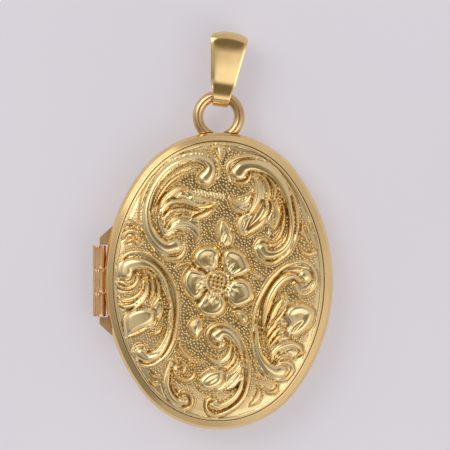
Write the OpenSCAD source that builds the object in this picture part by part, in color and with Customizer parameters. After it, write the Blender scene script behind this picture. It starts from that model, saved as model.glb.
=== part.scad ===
// Oval two-picture locket, lying on its back: hinged embossed cover, soldered
// suspension ring and a folded bail that swings on the ring.
// The origin is the centre of the flat back, +Y runs towards the bail and +Z out of the cover.

/* [Case] */
// Width of the closed case
case_w = 20; // [19.6:0.1:20.4]
// Height of the closed case, without ring and bail
case_h = 26; // [25.6:0.1:26.4]
// Depth of the back half, from its flat back to the parting plane
back_t = 2.4; // [2.3:0.05:2.5]
// Height of the cover's bright rim above the parting plane
rim_t = 1.35; // [1.3:0.05:1.4]
// Height of the embossed plate above the rim's inner edge
plate_rise = 0.85; // [0.7:0.05:1]
// Width of the bright rim round the embossed plate
rim_w = 0.75; // [0.7:0.01:0.8]
// Thickness of the pressed sheet
wall = 0.4; // [0.36:0.02:0.44]
// Radius of the back half's rounded shoulder
shoulder_r = 1.2; // [1.1:0.05:1.3]
// Thickness of the embossed plate
plate_t = 0.32; // [0.28:0.02:0.36]

/* [Hinge] */
// Outside diameter of the hinge barrel
barrel_d = 1.15; // [1.1:0.01:1.2]
// Length of the hinge barrel
barrel_l = 6.2; // [6:0.1:6.4]
// Distance of the hinge axis outside the case
barrel_out = 0.45; // [0.42:0.01:0.5]
// Diameter of the hinge pin
pin_d = 0.5; // [0.46:0.01:0.54]
// Radial clearance of the cover's knuckle on the pin
pin_fit = 0.04; // [0.02:0.01:0.06]
// Thickness of the bearer plates that carry the barrel's ends
bearer_t = 0.3; // [0.26:0.01:0.34]

/* [Ring and bail] */
// Radius of the suspension ring to the middle of its wire
ring_r = 1.82; // [1.78:0.01:1.86]
// Diameter of the ring's wire
ring_wire = 0.92; // [0.88:0.01:0.94]
// Height of the ring's centre above the edge of the case
ring_rise = 1.4; // [1.38:0.01:1.44]
// Lean of the bail to the right, in degrees
bail_lean = 8; // [0:1:10]
// Length from the ring's wire to the middle of the bail's top fold
bail_l = 4.4; // [4.3:0.1:4.7]
// Thickness of the bail's strap
bail_t = 0.26; // [0.24:0.01:0.28]
// Width of the bail at its top fold
bail_top_w = 3.35; // [3.2:0.05:3.5]
// Width of the bail where it turns round the ring
bail_foot_w = 1.35; // [1.3:0.01:1.4]
// Outer radius of the bail's top fold
bail_top_r = 1.3; // [1.2:0.02:1.34]
// Outer radius of the bail's turn round the ring
bail_foot_r = 0.95; // [0.93:0.01:0.97]

/* [Picture frames] */
// Width of the flange that shows round each picture
frame_flange = 0.7; // [0.6:0.05:0.8]
// Thickness of the frame's sheet
frame_t = 0.16; // [0.14:0.01:0.18]
// Thickness of each clear window
window_t = 0.14; // [0.12:0.01:0.16]
// Thickness of each blank picture card
card_t = 0.14; // [0.12:0.01:0.16]

/* [Hidden] */
$fn = 96;

// The outline is four tangent arcs whose centres stand on the corners of 3-4-5 triangles.
half_w = case_w / 2;
half_h = case_h / 2;
unit = (half_h - half_w) / 2;
side_x = 4 * unit;
end_y = 3 * unit;
side_r = half_w + side_x;
end_r = half_h - end_y;
seam = [0.8, 0.6];

part_gap = 0.03;
back_top = back_t - part_gap;
cover_foot = back_t + part_gap;
rim_top = back_t + rim_t;
case_top = rim_top + plate_rise;
rim_bend = cover_foot + 0.5;
gap = 0.06;

// The plate is domed over this width inside its edge and level in the middle.
dome_w = 3.4;
dome_r = (dome_w * dome_w + plate_rise * plate_rise) / (2 * plate_rise);

// Insets from the case's outline, and heights, of the parts round the mouth.
lip_in = 1.0;
lip_w = 0.3;
lip_h = 0.42;
lip_top = back_t + lip_h;
skirt_foot = wall + 0.1;
frame_in = lip_in + lip_w + gap;
frame_wall = 0.16;
card_in = frame_in + frame_wall + 0.03;
back_frame_top = 1.75;
cover_frame_foot = lip_top + 0.12;
cover_rim_under = cover_frame_foot + 0.3;

hinge_x = -half_w - barrel_out;
barrel_r = barrel_d / 2;
knuckle_gap = 0.06;
knuckle_l = (barrel_l - 2 * knuckle_gap) / 3;
bearer_l = 7.6;
bearer_root_l = 9.7;

ring_y = half_h + ring_rise;
ring_z = 2.3;
solder_r = 0.42;
solder_x = 1.3;

nick_r = 0.8;
nick_out = 0.56;
nick_turn = 33;

gold = [0.90, 0.72, 0.36];
pale_gold = [0.93, 0.78, 0.45];
deep_gold = [0.80, 0.56, 0.26];

// ---- outline helpers ----

module outline(inset = 0) {
    intersection() {
        translate([side_x, 0]) circle(side_r - inset, $fn = 360);
        translate([-side_x, 0]) circle(side_r - inset, $fn = 360);
        square([case_w, 2 * (end_y + (end_r - inset) * seam.y)], center = true);
    }
    for (s = [-1, 1]) translate([0, s * end_y]) circle(end_r - inset, $fn = 240);
}

module sector(centre, corners) {
    translate([0, 0, -case_top]) linear_extrude(3 * case_top)
        polygon([centre, centre + 2 * side_r * corners[0], centre + 2 * side_r * corners[1]]);
}

// Carries a profile round the outline. In the profile, x is minus the inset and y is the height.
module around() {
    for (m = [0, 1]) mirror([m, 0, 0]) intersection() {
        translate([-side_x, 0]) rotate_extrude($fn = 360) translate([side_r, 0]) children();
        sector([-side_x, 0], [[seam.x, -seam.y], seam]);
    }
    for (m = [0, 1]) mirror([0, m, 0]) intersection() {
        translate([0, end_y]) rotate_extrude($fn = 240) translate([end_r, 0]) children();
        sector([0, end_y], [seam, [-seam.x, seam.y]]);
    }
}

module slab(inset, z0, z1) {
    translate([0, 0, z0]) linear_extrude(z1 - z0) outline(inset);
}

module band(in0, in1, z0, z1) {
    difference() {
        slab(in0, z0, z1);
        slab(in1, z0 - 1, z1 + 1);
    }
}

// ---- hinge helpers ----

module along_hinge(y0, y1, r) {
    translate([hinge_x, y0, back_t]) rotate([-90, 0, 0]) cylinder(h = y1 - y0, r = r);
}

// Room for the barrel: snug at the half's own knuckles and clear of the other's.
module barrel_groove(own_middle) {
    mid = knuckle_l / 2 + knuckle_gap / 2;
    end = barrel_l / 2 + gap;
    along_hinge(-mid, mid, barrel_r + (own_middle ? 0 : gap));
    for (s = [0, 1]) mirror([0, s, 0]) along_hinge(mid, end, barrel_r + (own_middle ? gap : 0));
}

module knuckle(y0, bore_r) {
    difference() {
        along_hinge(y0, y0 + knuckle_l, barrel_r);
        along_hinge(y0 - 1, y0 + knuckle_l + 1, bore_r);
    }
}

module bearer(z0) {
    difference() {
        translate([0, 0, z0]) linear_extrude(bearer_t) polygon([
            [hinge_x + 0.02, -bearer_l / 2], [hinge_x + 0.02, bearer_l / 2],
            [-half_w + 0.75, bearer_root_l / 2], [-half_w + 0.75, -bearer_root_l / 2]
        ]);
        slab(0, z0 - 1, z0 + bearer_t + 1);
        along_hinge(-barrel_l / 2 - gap, barrel_l / 2 + gap, barrel_r + gap);
    }
}

// ---- back half ----

module shoulder_profile(r) {
    translate([-shoulder_r, shoulder_r]) intersection() {
        circle(r);
        translate([0, -r]) square(r);
    }
}

module back_body(inset, z0) {
    r = shoulder_r - inset;
    slab(inset, shoulder_r, back_top);
    slab(shoulder_r, z0, shoulder_r);
    around() shoulder_profile(r);
}

module back_shell() {
    color(gold) difference() {
        back_body(0, 0);
        translate([0, 0, part_gap]) back_body(wall, wall - part_gap);
        slab(wall, shoulder_r + 0.1, back_t + 1);
        barrel_groove(false);
    }
}

module back_snap_rim() {
    color(pale_gold) {
        band(wall, lip_in, back_top - 0.35, back_top);
        band(lip_in, lip_in + lip_w, skirt_foot, lip_top);
    }
}

// A flange that faces the opening, and a wall that grips the mouth behind it.
module picture_frame(z_face, into) {
    z_back = z_face + into * frame_t;
    z_tail = z_back + into * (window_t + card_t + 0.02);
    band(frame_in, frame_in + frame_wall + frame_flange, min(z_face, z_back), max(z_face, z_back));
    band(frame_in, frame_in + frame_wall, min(z_back, z_tail), max(z_back, z_tail));
}

module back_picture_frame() {
    color(pale_gold) picture_frame(back_frame_top, -1);
}

module back_window() {
    z1 = back_frame_top - frame_t;
    color([0.9, 0.92, 0.92, 0.5]) slab(card_in, z1 - window_t, z1);
}

module back_picture_card() {
    z1 = back_frame_top - frame_t - window_t;
    color("ivory") slab(card_in, z1 - card_t, z1);
}

module back_hinge_bearer() {
    color(deep_gold) bearer(back_top - bearer_t);
}

module lower_knuckle() {
    color(deep_gold) knuckle(-barrel_l / 2, pin_d / 2);
}

module upper_knuckle() {
    color(deep_gold) knuckle(barrel_l / 2 - knuckle_l, pin_d / 2);
}

module hinge_pin() {
    color(pale_gold) along_hinge(-barrel_l / 2, barrel_l / 2, pin_d / 2);
}

// ---- suspension ring ----

module whole_ring() {
    translate([0, ring_y, ring_z]) rotate_extrude() translate([ring_r, 0]) circle(ring_wire / 2, $fn = 48);
}

// The ring is filed to the back half's edge and stays just clear of the cover above it.
module ring_seat() {
    slab(0, -1, back_top);
    slab(-gap, back_top, case_top);
}

module suspension_ring() {
    color(gold) difference() {
        whole_ring();
        ring_seat();
    }
}

module ring_solder() {
    color(deep_gold) for (s = [-1, 1]) difference() {
        translate([s * solder_x, half_h - 0.05, back_top - solder_r - 0.02]) sphere(solder_r, $fn = 48);
        ring_seat();
        whole_ring();
    }
}

// ---- cover ----

// The rim rises straight from the parting plane and then slopes in to the plate's seat.
module slope_profile() {
    polygon([
        [0, rim_bend], [-0.22, rim_bend + 0.48], [-rim_w, rim_top],
        [-shoulder_r, rim_top], [-shoulder_r, rim_bend]
    ]);
}

module cover_rim() {
    color(gold) difference() {
        union() {
            slab(0, cover_foot, rim_bend);
            around() slope_profile();
            slab(shoulder_r, rim_bend, rim_top);
        }
        slab(rim_w, rim_top - plate_t - 0.07, case_top);
        slab(rim_w + 0.35, 0, case_top);
        slab(wall, 0, cover_rim_under);
        barrel_groove(true);
        translate([-side_x, 0, back_t]) rotate(-nick_turn) translate([side_r + nick_out, 0, 0])
            sphere(nick_r, $fn = 64);
    }
}

module dome_profile(r) {
    translate([-rim_w - dome_w, case_top - dome_r]) intersection() {
        circle(r, $fn = 360);
        square([dome_w, dome_r * 2]);
    }
}

module embossed_plate() {
    color(pale_gold) {
        slab(rim_w + dome_w, case_top - plate_t, case_top);
        around() difference() {
            dome_profile(dome_r);
            dome_profile(dome_r - plate_t);
        }
    }
}

module cover_inner_rim() {
    color(pale_gold) {
        band(wall, lip_in - gap - 0.02, cover_foot, cover_frame_foot);
        band(wall, lip_in + lip_w, cover_frame_foot, cover_rim_under);
    }
}

module cover_picture_frame() {
    color(pale_gold) picture_frame(cover_frame_foot, 1);
}

module cover_window() {
    color([0.9, 0.92, 0.92, 0.5]) translate([0, 0, cover_frame_foot + frame_t]) slab(card_in, 0, window_t);
}

module cover_picture_card() {
    color("ivory") translate([0, 0, cover_frame_foot + frame_t + window_t]) slab(card_in, 0, card_t);
}

module cover_hinge_bearer() {
    color(deep_gold) bearer(cover_foot);
}

module cover_knuckle() {
    color(deep_gold) knuckle(-knuckle_l / 2, pin_d / 2 + pin_fit);
}

// ---- bail ----

// Two arcs joined by their outer tangents, for the turn round the ring and the top fold.
module teardrop(inset) {
    foot = bail_foot_r - inset;
    top = bail_top_r - inset;
    tangent = acos((bail_foot_r - bail_top_r) / bail_l);
    steps = 24;
    polygon(concat(
        [for (i = [0 : steps]) let (a = tangent + (360 - 2 * tangent) * i / steps)
            foot * [cos(a), sin(a)]],
        [for (i = [0 : steps]) let (a = -tangent + 2 * tangent * i / steps)
            [bail_l, 0] + top * [cos(a), sin(a)]]
    ));
}

module bail() {
    w1 = bail_top_w / 2;
    w0 = bail_foot_w / 2;
    color(gold) translate([0, ring_y, ring_z]) rotate(-bail_lean) translate([0, ring_r, 0]) intersection() {
        rotate([0, 90, 0]) rotate([0, 0, 90]) linear_extrude(bail_top_w + 1, center = true) difference() {
            teardrop(0);
            teardrop(bail_t);
        }
        translate([0, 0, -bail_top_r - 1]) linear_extrude(2 * bail_top_r + 2) polygon([
            [-w0, -bail_foot_r - 0.1], [w0, -bail_foot_r - 0.1],
            [w1, bail_l + bail_top_r + 0.1], [-w1, bail_l + bail_top_r + 0.1]
        ]);
    }
}

back_shell();
back_snap_rim();
back_picture_frame();
back_window();
back_picture_card();
back_hinge_bearer();
lower_knuckle();
upper_knuckle();
hinge_pin();
suspension_ring();
ring_solder();
cover_rim();
embossed_plate();
cover_inner_rim();
cover_picture_frame();
cover_window();
cover_picture_card();
cover_hinge_bearer();
cover_knuckle();
bail();
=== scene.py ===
import math

import bpy
import numpy as np
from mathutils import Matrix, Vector


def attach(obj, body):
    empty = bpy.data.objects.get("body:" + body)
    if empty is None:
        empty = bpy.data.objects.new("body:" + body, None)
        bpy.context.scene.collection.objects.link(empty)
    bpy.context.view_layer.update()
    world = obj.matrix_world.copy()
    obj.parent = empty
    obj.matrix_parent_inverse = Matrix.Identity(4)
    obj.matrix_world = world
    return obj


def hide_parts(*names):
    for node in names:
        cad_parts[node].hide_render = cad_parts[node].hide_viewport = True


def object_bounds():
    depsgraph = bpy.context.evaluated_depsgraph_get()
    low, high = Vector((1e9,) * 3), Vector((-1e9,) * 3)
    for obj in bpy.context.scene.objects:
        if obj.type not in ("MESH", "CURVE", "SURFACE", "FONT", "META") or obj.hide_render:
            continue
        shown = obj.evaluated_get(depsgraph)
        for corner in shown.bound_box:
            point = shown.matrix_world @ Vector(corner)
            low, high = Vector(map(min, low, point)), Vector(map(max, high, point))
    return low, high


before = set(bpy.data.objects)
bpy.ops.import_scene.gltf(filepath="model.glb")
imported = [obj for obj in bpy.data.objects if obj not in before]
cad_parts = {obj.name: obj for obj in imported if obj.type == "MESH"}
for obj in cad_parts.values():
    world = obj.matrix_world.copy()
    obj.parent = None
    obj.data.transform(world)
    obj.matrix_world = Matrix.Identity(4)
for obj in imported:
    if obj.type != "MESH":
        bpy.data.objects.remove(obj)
CAD_LOW, CAD_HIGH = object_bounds()

# Lengths are in millimetres until a mesh is made. The origin is the centre of the flat back.
MM = 0.001
SIDE_X, SIDE_R = 6.0, 16.0
END_Y, END_R = 4.5, 8.5
SEAM_COS, SEAM_SIN = 0.8, 0.6
SEAM_TURN = math.atan2(SEAM_SIN, SEAM_COS)

WALL = 0.4
BACK_T = 2.4
BACK_TOP, COVER_FOOT = 2.37, 2.43
RIM_BEND, RIM_TOP, CASE_TOP = 2.93, 3.75, 4.6
RIM_W = 0.75
SHOULDER_R = 1.2
DOME_W, DOME_R = 3.4, 7.225
SHARP_ANGLE = math.radians(42)

# The rims at the parting: insets from the case's outline, then heights.
SKIRT_OUT, SKIRT_IN = 1.0, 1.3
SKIRT_LOW, SKIRT_TOP, SKIRT_SEAT = 0.5, 2.82, BACK_TOP - 0.35
LINING_IN, LINING_TOP = 0.92, 2.94
RIM_IN, PLATE_FOOT, PLATE_SKIRT = 1.1, 3.24, 0.3
NICK_OUT, NICK_R = 0.56, 0.8

# The picture frames, windows and cards.
BACK_FRAME_Z = 1.75
FRAME_OUT, FRAME_STEP, FRAME_IN = 1.36, 1.52, 2.22
FRAME_TAIL, LAYER_GAP, LAYER_T = 0.3, 0.16, 0.12

HINGE_X, BARREL_R, BARREL_L = -10.45, 0.575, 6.2
BARREL_ROOM, KNUCKLE_GAP, PIN_R = 0.06, 0.06, 0.25
PIN_PROUD, BORE_ROOM = 0.02, 0.04
ROLL_TURN, ROLL_W, ROLL_DEPTH = math.radians(108), 0.07, 0.07
BEARER_T, BEARER_EASE = 0.3, 0.03
KNUCKLE_L = (BARREL_L - 2 * KNUCKLE_GAP) / 3

RING_Y, RING_Z, RING_R, WIRE_R = 14.4, 2.3, 1.82, 0.46
RING_FOOT = math.radians(-71)
SOLDER_X, SOLDER_Y, SOLDER_Z, SOLDER_R = 1.3, 12.95, BACK_TOP - 0.44, 0.41
BAIL_LEAN = math.radians(8)
BAIL_L, BAIL_T = 4.4, 0.26
BAIL_FOOT_R, BAIL_TOP_R = 0.95, 1.3
BAIL_FOOT_W, BAIL_TOP_W = 1.35, 3.35
TOP_TURN, CREASE = 0.62, 1.0
FOLD_DIP, CROWN, TOP_ARCH, REAR_SLIP = 0.13, 0.06, 0.34, 0.09
# The front strap's width at distances up from the ring.
FRONT_AT, FRONT_WIDE = (-0.95, 0.0, 0.5, 1.05, 5.6), (1.36, 1.64, 1.79, 2.2, 3.45)


# ---- node materials ----


def node(tree, kind, **sockets):
    """A new node, with values for its sockets; an underscore stands for a space in a socket's name."""
    made = tree.nodes.new(kind)
    for name, value in sockets.items():
        made.inputs[name.replace("_", " ")].default_value = value
    return made


def colour_steps(tree, factor, steps):
    ramp = tree.nodes.new("ShaderNodeValToRGB")
    while len(ramp.color_ramp.elements) < len(steps):
        ramp.color_ramp.elements.new(0.5)
    for element, (place, colour) in zip(ramp.color_ramp.elements, steps):
        element.position = place
        element.color = (*colour, 1)
    tree.links.new(factor, ramp.inputs["Fac"])
    return ramp.outputs["Color"]


def new_material(name):
    material = bpy.data.materials.new(name)
    material.use_nodes = True
    tree = material.node_tree
    shader = tree.nodes["Principled BSDF"]
    place = tree.nodes.new("ShaderNodeTexCoord").outputs["Object"]
    return material, tree, shader, place


def stretched(tree, place, scale, turn=0.0):
    mapping = node(tree, "ShaderNodeMapping", Scale=scale, Rotation=(0, 0, turn))
    tree.links.new(place, mapping.inputs["Vector"])
    return mapping.outputs["Vector"]


def mottle(tree, place, scale, detail=3.0):
    noise = node(tree, "ShaderNodeTexNoise", Scale=scale, Detail=detail)
    tree.links.new(place, noise.inputs["Vector"])
    return noise.outputs["Fac"]


def to_range(tree, value, low, high, start=0.3, end=0.7):
    spread = tree.nodes.new("ShaderNodeMapRange")
    spread.inputs["From Min"].default_value = start
    spread.inputs["From Max"].default_value = end
    spread.inputs["To Min"].default_value = low
    spread.inputs["To Max"].default_value = high
    tree.links.new(value, spread.inputs["Value"])
    return spread.outputs["Result"]


def raise_surface(tree, shader, heights):
    """Chains bumps of (height, strength, distance in metres) into the shader's normal."""
    normal = None
    for height, strength, distance in heights:
        bump = node(tree, "ShaderNodeBump", Strength=strength, Distance=distance)
        tree.links.new(height, bump.inputs["Height"])
        if normal is not None:
            tree.links.new(normal, bump.inputs["Normal"])
        normal = bump.outputs["Normal"]
    tree.links.new(normal, shader.inputs["Normal"])


def gold(name, light, deep, rough, brushed=0.12, grain=0.0, painted_shade=None):
    """Yellow gold with faint colour drift, wear in its polish and fine rubbing marks."""
    material, tree, shader, place = new_material(name)
    drift = mottle(tree, place, 260.0)
    colour = colour_steps(tree, drift, [(0.3, deep), (0.7, light)])
    wear = to_range(tree, mottle(tree, place, 900.0, 4.0), rough * 0.75, rough * 1.35)
    # Painted shade: where the plate's "hollow" attribute is high, the colour goes to the given dark brown,
    # standing for shade in the relief's hollows and on its stippled ground.
    if painted_shade:
        hollow = tree.nodes.new("ShaderNodeAttribute")
        hollow.attribute_name = "hollow"
        shade = tree.nodes.new("ShaderNodeMix")
        shade.data_type = "RGBA"
        tree.links.new(hollow.outputs["Fac"], shade.inputs["Factor"])
        tree.links.new(colour, shade.inputs["A"])
        shade.inputs["B"].default_value = (*painted_shade, 1)
        colour = shade.outputs["Result"]
    tree.links.new(colour, shader.inputs["Base Color"])
    tree.links.new(wear, shader.inputs["Roughness"])
    shader.inputs["Metallic"].default_value = 1.0
    rubs = mottle(tree, stretched(tree, place, (9000, 700, 2000), 0.6), 1.0, 2.0)
    waves = mottle(tree, place, 420.0, 1.0)
    heights = [(waves, 0.25, 0.00006), (rubs, brushed, 0.00001)]
    if grain:
        heights.append((mottle(tree, place, 5200.0, 2.0), grain, 0.00006))
    raise_surface(tree, shader, heights)
    return material


def clear_window():
    """Thin clear sheet: almost unseen from straight on, and more solid towards a grazing view."""
    material, tree, shader, place = new_material("clear_window")
    haze = to_range(tree, mottle(tree, place, 300.0), 0.04, 0.12)
    tint = colour_steps(tree, haze, [(0.0, (0.93, 0.95, 0.94)), (1.0, (0.86, 0.89, 0.88))])
    tree.links.new(tint, shader.inputs["Base Color"])
    tree.links.new(haze, shader.inputs["Roughness"])
    shader.inputs["IOR"].default_value = 1.49
    edge_on = tree.nodes.new("ShaderNodeLayerWeight").outputs["Facing"]
    tree.links.new(to_range(tree, edge_on, low=0.16, high=0.7, start=0.3, end=1.0), shader.inputs["Alpha"])
    return material


def picture_card():
    """Blank cream card with faint fibres."""
    material, tree, shader, place = new_material("picture_card")
    fibres = mottle(tree, stretched(tree, place, (1500, 3000, 1500)), 1.0, 5.0)
    tint = colour_steps(tree, fibres, [(0.3, (0.80, 0.74, 0.60)), (0.7, (0.90, 0.86, 0.75))])
    tree.links.new(tint, shader.inputs["Base Color"])
    tree.links.new(to_range(tree, fibres, 0.7, 0.9), shader.inputs["Roughness"])
    raise_surface(tree, shader, [(fibres, 0.3, 0.00003)])
    return material


def floor_paper():
    """Pale matt paper that glows a little, so that its shadows stay light."""
    material, tree, shader, place = new_material("floor_paper")
    cloud = mottle(tree, place, 18.0, 2.0)
    tint = colour_steps(tree, cloud, [(0.3, (0.49, 0.47, 0.50)), (0.7, (0.51, 0.49, 0.52))])
    tree.links.new(tint, shader.inputs["Base Color"])
    tree.links.new(tint, shader.inputs["Emission Color"])
    shader.inputs["Emission Strength"].default_value = 0.58
    shader.inputs["Roughness"].default_value = 0.9
    return material


POLISHED = gold("polished_gold", (0.93, 0.68, 0.32), (0.87, 0.60, 0.26), 0.14)
# The embossed gold darkens to brown in the plate's hollows: painted shade.
EMBOSSED = gold("embossed_gold", (0.95, 0.74, 0.39), (0.89, 0.67, 0.32), 0.19, painted_shade=(0.44, 0.28, 0.11))
# The ring's gold is a darker, browner copy of the polished gold: painted shade for the ring's darker look.
RING_SHADED_GOLD = gold("ring_gold", (0.84, 0.58, 0.27), (0.66, 0.42, 0.18), 0.20)
INNER = gold("inner_gold", (0.93, 0.72, 0.38), (0.88, 0.65, 0.32), 0.28, brushed=0.5)
# The hinge's gold is a darker, redder copy of the polished gold: painted shade for the hinge, which sits in
# shade between the two halves.
HINGE_SHADED_GOLD = gold("hinge_gold", (0.80, 0.52, 0.26), (0.66, 0.41, 0.19), 0.28)
SOLDER = gold("solder_gold", (0.86, 0.60, 0.28), (0.66, 0.42, 0.18), 0.38, grain=0.9)
WINDOW = clear_window()
CARD = picture_card()


# ---- meshes ----


def make_piece(name, verts, faces, material, body, nodes):
    """A mesh piece from millimetre points, which rides on its body and stands for CAD nodes."""
    mesh = bpy.data.meshes.new(name)
    mesh.from_pydata((np.asarray(verts, float) * MM).tolist(), [], [list(f) for f in faces])
    mesh.validate()
    mesh.shade_smooth()
    mesh.set_sharp_from_angle(angle=SHARP_ANGLE)
    mesh.materials.append(material)
    piece = bpy.data.objects.new(name, mesh)
    bpy.context.scene.collection.objects.link(piece)
    return dress(piece, body, nodes)


def dress(piece, body, nodes):
    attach(piece, body)
    if nodes:
        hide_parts(*nodes)
    return piece


def bridge(rows, count, wrap=False, start=0):
    """Faces between rows of count points from start. wrap joins the last row to the first."""
    faces = []
    for k in range(rows if wrap else rows - 1):
        low, high = start + k * count, start + (k + 1) % rows * count
        for i in range(count):
            j = (i + 1) % count
            faces.append((low + i, low + j, high + j, high + i))
    return faces


def soften(corners, steps=4):
    """Rounds a closed line of (x, y, radius) corners, with support points on the flats beside each."""
    rounded = []
    count = len(corners)
    for i in range(count):
        before, here, after = (np.array(corners[(i + k) % count][:2], float) for k in (-1, 0, 1))
        radius = corners[i][2]
        back, ahead = before - here, after - here
        long_back, long_ahead = np.linalg.norm(back), np.linalg.norm(ahead)
        back, ahead = back / long_back, ahead / long_ahead
        half_turn = math.acos(np.clip(back @ ahead, -1, 1)) / 2
        if radius <= 0 or half_turn > 1.55:
            rounded.append(here)
            continue
        cut = min(radius / math.tan(half_turn), 0.4 * long_back, 0.4 * long_ahead)
        a, b = here + back * cut, here + ahead * cut
        rounded.append(here + back * cut * 1.2)
        for k in range(steps + 1):
            t = k / steps
            rounded.append((1 - t) ** 2 * a + 2 * t * (1 - t) * here + t * t * b)
        rounded.append(here + ahead * cut * 1.2)
    return rounded


def arc_marks():
    """Turns of the outline's normal at its seams, with the outline's length up to each."""
    turns, lengths = [0.0], [0.0]
    quarters = [(SEAM_TURN, SIDE_R), (math.pi - SEAM_TURN, END_R), (math.pi + SEAM_TURN, SIDE_R)]
    quarters += [(2 * math.pi - SEAM_TURN, END_R), (2 * math.pi, SIDE_R)]
    for turn, radius in quarters:
        lengths.append(lengths[-1] + (turn - turns[-1]) * radius)
        turns.append(turn)
    return turns, lengths


def spread_turns(count, fine=()):
    """Turns of the outline's normal at even steps round it, with finer steps in the given spans."""
    turns, lengths = arc_marks()
    even = np.interp(np.linspace(0, lengths[-1], count, endpoint=False), lengths, turns)
    for centre, reach, step in fine:
        even = even[np.abs(even - centre) > reach]
        extra = np.arange(centre - reach, centre + reach + step / 2, step)
        even = np.concatenate([even, extra])
    return np.sort(even)


def outline(inset, turns):
    """Points of the case's four-arc outline, moved in by inset, at turns of its normal."""
    c, s = np.cos(turns), np.sin(turns)
    ends = np.abs(s) > SEAM_SIN
    radius = np.where(ends, END_R, SIDE_R) - inset
    x = np.where(ends, 0, -SIDE_X * np.sign(c)) + radius * c
    y = np.where(ends, END_Y * np.sign(s), 0) + radius * s
    return x, y


def inset_of(x, y):
    """How far inside the case's outline a point lies."""
    ax, ay = np.abs(x), np.abs(y)
    ends = (ay - END_Y) * SEAM_COS > ax * SEAM_SIN
    return np.where(ends, END_R - np.hypot(ax, ay - END_Y), SIDE_R - np.hypot(ax + SIDE_X, ay))


def out_of(x, y):
    """The outline's outward direction at a point near it."""
    ends = (np.abs(y) - END_Y) * SEAM_COS > np.abs(x) * SEAM_SIN
    cx = np.where(ends, 0, -SIDE_X * np.sign(x))
    cy = np.where(ends, END_Y * np.sign(y), 0)
    away = np.stack([x - cx, y - cy], -1)
    return away / np.linalg.norm(away, axis=-1, keepdims=True)


NICK_TURN = 2 * math.pi - math.radians(33)
TURNS = spread_turns(300, fine=[(math.pi, 0.22, 0.007), (NICK_TURN, 0.06, 0.006)])


def carry_round(profile, closed=True):
    """Verts and faces of a profile of (inset, height) carried round the outline.
    An open profile runs from the middle of the underside to the middle of the top, and is capped."""
    profile = np.array(profile, float)
    ring = len(TURNS)
    verts = []
    for inset, height in profile:
        x, y = outline(inset, TURNS)
        verts.append(np.stack([x, y, np.full(ring, height)], -1))
    verts = np.concatenate(verts)
    rows = len(profile)
    faces = bridge(rows, ring, wrap=closed)
    if not closed:
        under, over = len(verts), len(verts) + 1
        verts = np.vstack([verts, [0, 0, profile[0, 1]], [0, 0, profile[-1, 1]]])
        last = (rows - 1) * ring
        for i in range(ring):
            j = (i + 1) % ring
            faces.append((under, j, i))
            faces.append((over, last + i, last + j))
    return verts, faces


def ordered(profile):
    """A closed (inset, height) profile turned so that its faces look outward."""
    p = np.array(profile, float)
    x, y = -p[:, 0], p[:, 1]
    area = np.sum(x * np.roll(y, -1) - np.roll(x, -1) * y)
    return p if area > 0 else p[::-1]


def press_barrel(verts, own_middle):
    """Room in the case's wall for the hinge barrel."""
    mid = KNUCKLE_L / 2 + KNUCKLE_GAP / 2
    middle = np.abs(verts[:, 1]) < mid
    snug = middle == own_middle
    radius = np.where(snug, BARREL_R, BARREL_R + BARREL_ROOM)
    reach = radius**2 - (verts[:, 2] - BACK_T) ** 2
    limit = HINGE_X + np.sqrt(np.maximum(reach, 0))
    near = (reach > 0) & (np.abs(verts[:, 1]) < BARREL_L / 2 + BARREL_ROOM) & (verts[:, 0] < limit)
    verts[near, 0] = limit[near]
    return verts


def press_nick(verts):
    """The small worn nick in the cover's rim."""
    x, y = outline(-NICK_OUT, np.array([NICK_TURN]))
    centre = np.array([x[0], y[0], BACK_T])
    out = np.array([math.cos(NICK_TURN), math.sin(NICK_TURN), 0])
    offset = verts - centre
    outward = offset @ out
    across = np.sum(offset**2, 1) - outward**2
    hit = (across < NICK_R**2) & (np.sum(offset**2, 1) < NICK_R**2)
    depth = np.sqrt(np.maximum(NICK_R**2 - across, 0))
    verts[hit] += (-depth - outward)[hit, None] * out
    return verts


# ---- the embossed plate ----


def curve(points, closed=False, step=0.06):
    """A smooth line through given points, at even short steps."""
    p = np.array(points, float)
    if closed:
        p = np.vstack([p[-1], p, p[0], p[1]])
    else:
        p = np.vstack([2 * p[0] - p[1], p, 2 * p[-1] - p[-2]])
    line = []
    for a, b, c, d in zip(p, p[1:], p[2:], p[3:]):
        t = np.linspace(0, 1, 12, endpoint=False)[:, None]
        bend, twist = 2 * a - 5 * b + 4 * c - d, 3 * b - a - 3 * c + d
        line.append(0.5 * (2 * b + (c - a) * t + bend * t**2 + twist * t**3))
    line = np.vstack(line + [p[-2][None]])
    length = np.concatenate([[0], np.cumsum(np.linalg.norm(np.diff(line, axis=0), axis=1))])
    count = max(8, int(length[-1] / step))
    marks = np.linspace(0, length[-1], count, endpoint=not closed)
    return np.stack([np.interp(marks, length, line[:, k]) for k in (0, 1)], -1)


def headings(line, closed=False):
    """The unit direction of a line at each of its points."""
    if closed:
        ahead = np.roll(line, -1, 0) - np.roll(line, 1, 0)
    else:
        ahead = np.gradient(line, axis=0)
    return ahead / np.maximum(np.linalg.norm(ahead, axis=1, keepdims=True), 1e-9)


def along(values, t):
    """One value, or values evenly spaced from a line's start to its end, at places t along it."""
    values = np.atleast_1d(np.array(values, float))
    if len(values) == 1:
        return np.full_like(t, values[0])
    return np.interp(t, np.linspace(0, 1, len(values)), values)


def beside(points, offset):
    """Points moved sideways from a line: to the left of its direction where offset is positive."""
    line = curve(points, step=0.4)
    ahead = headings(line)
    left = np.stack([-ahead[:, 1], ahead[:, 0]], -1)
    return line + left * along(offset, np.linspace(0, 1, len(line)))[:, None]


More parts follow.
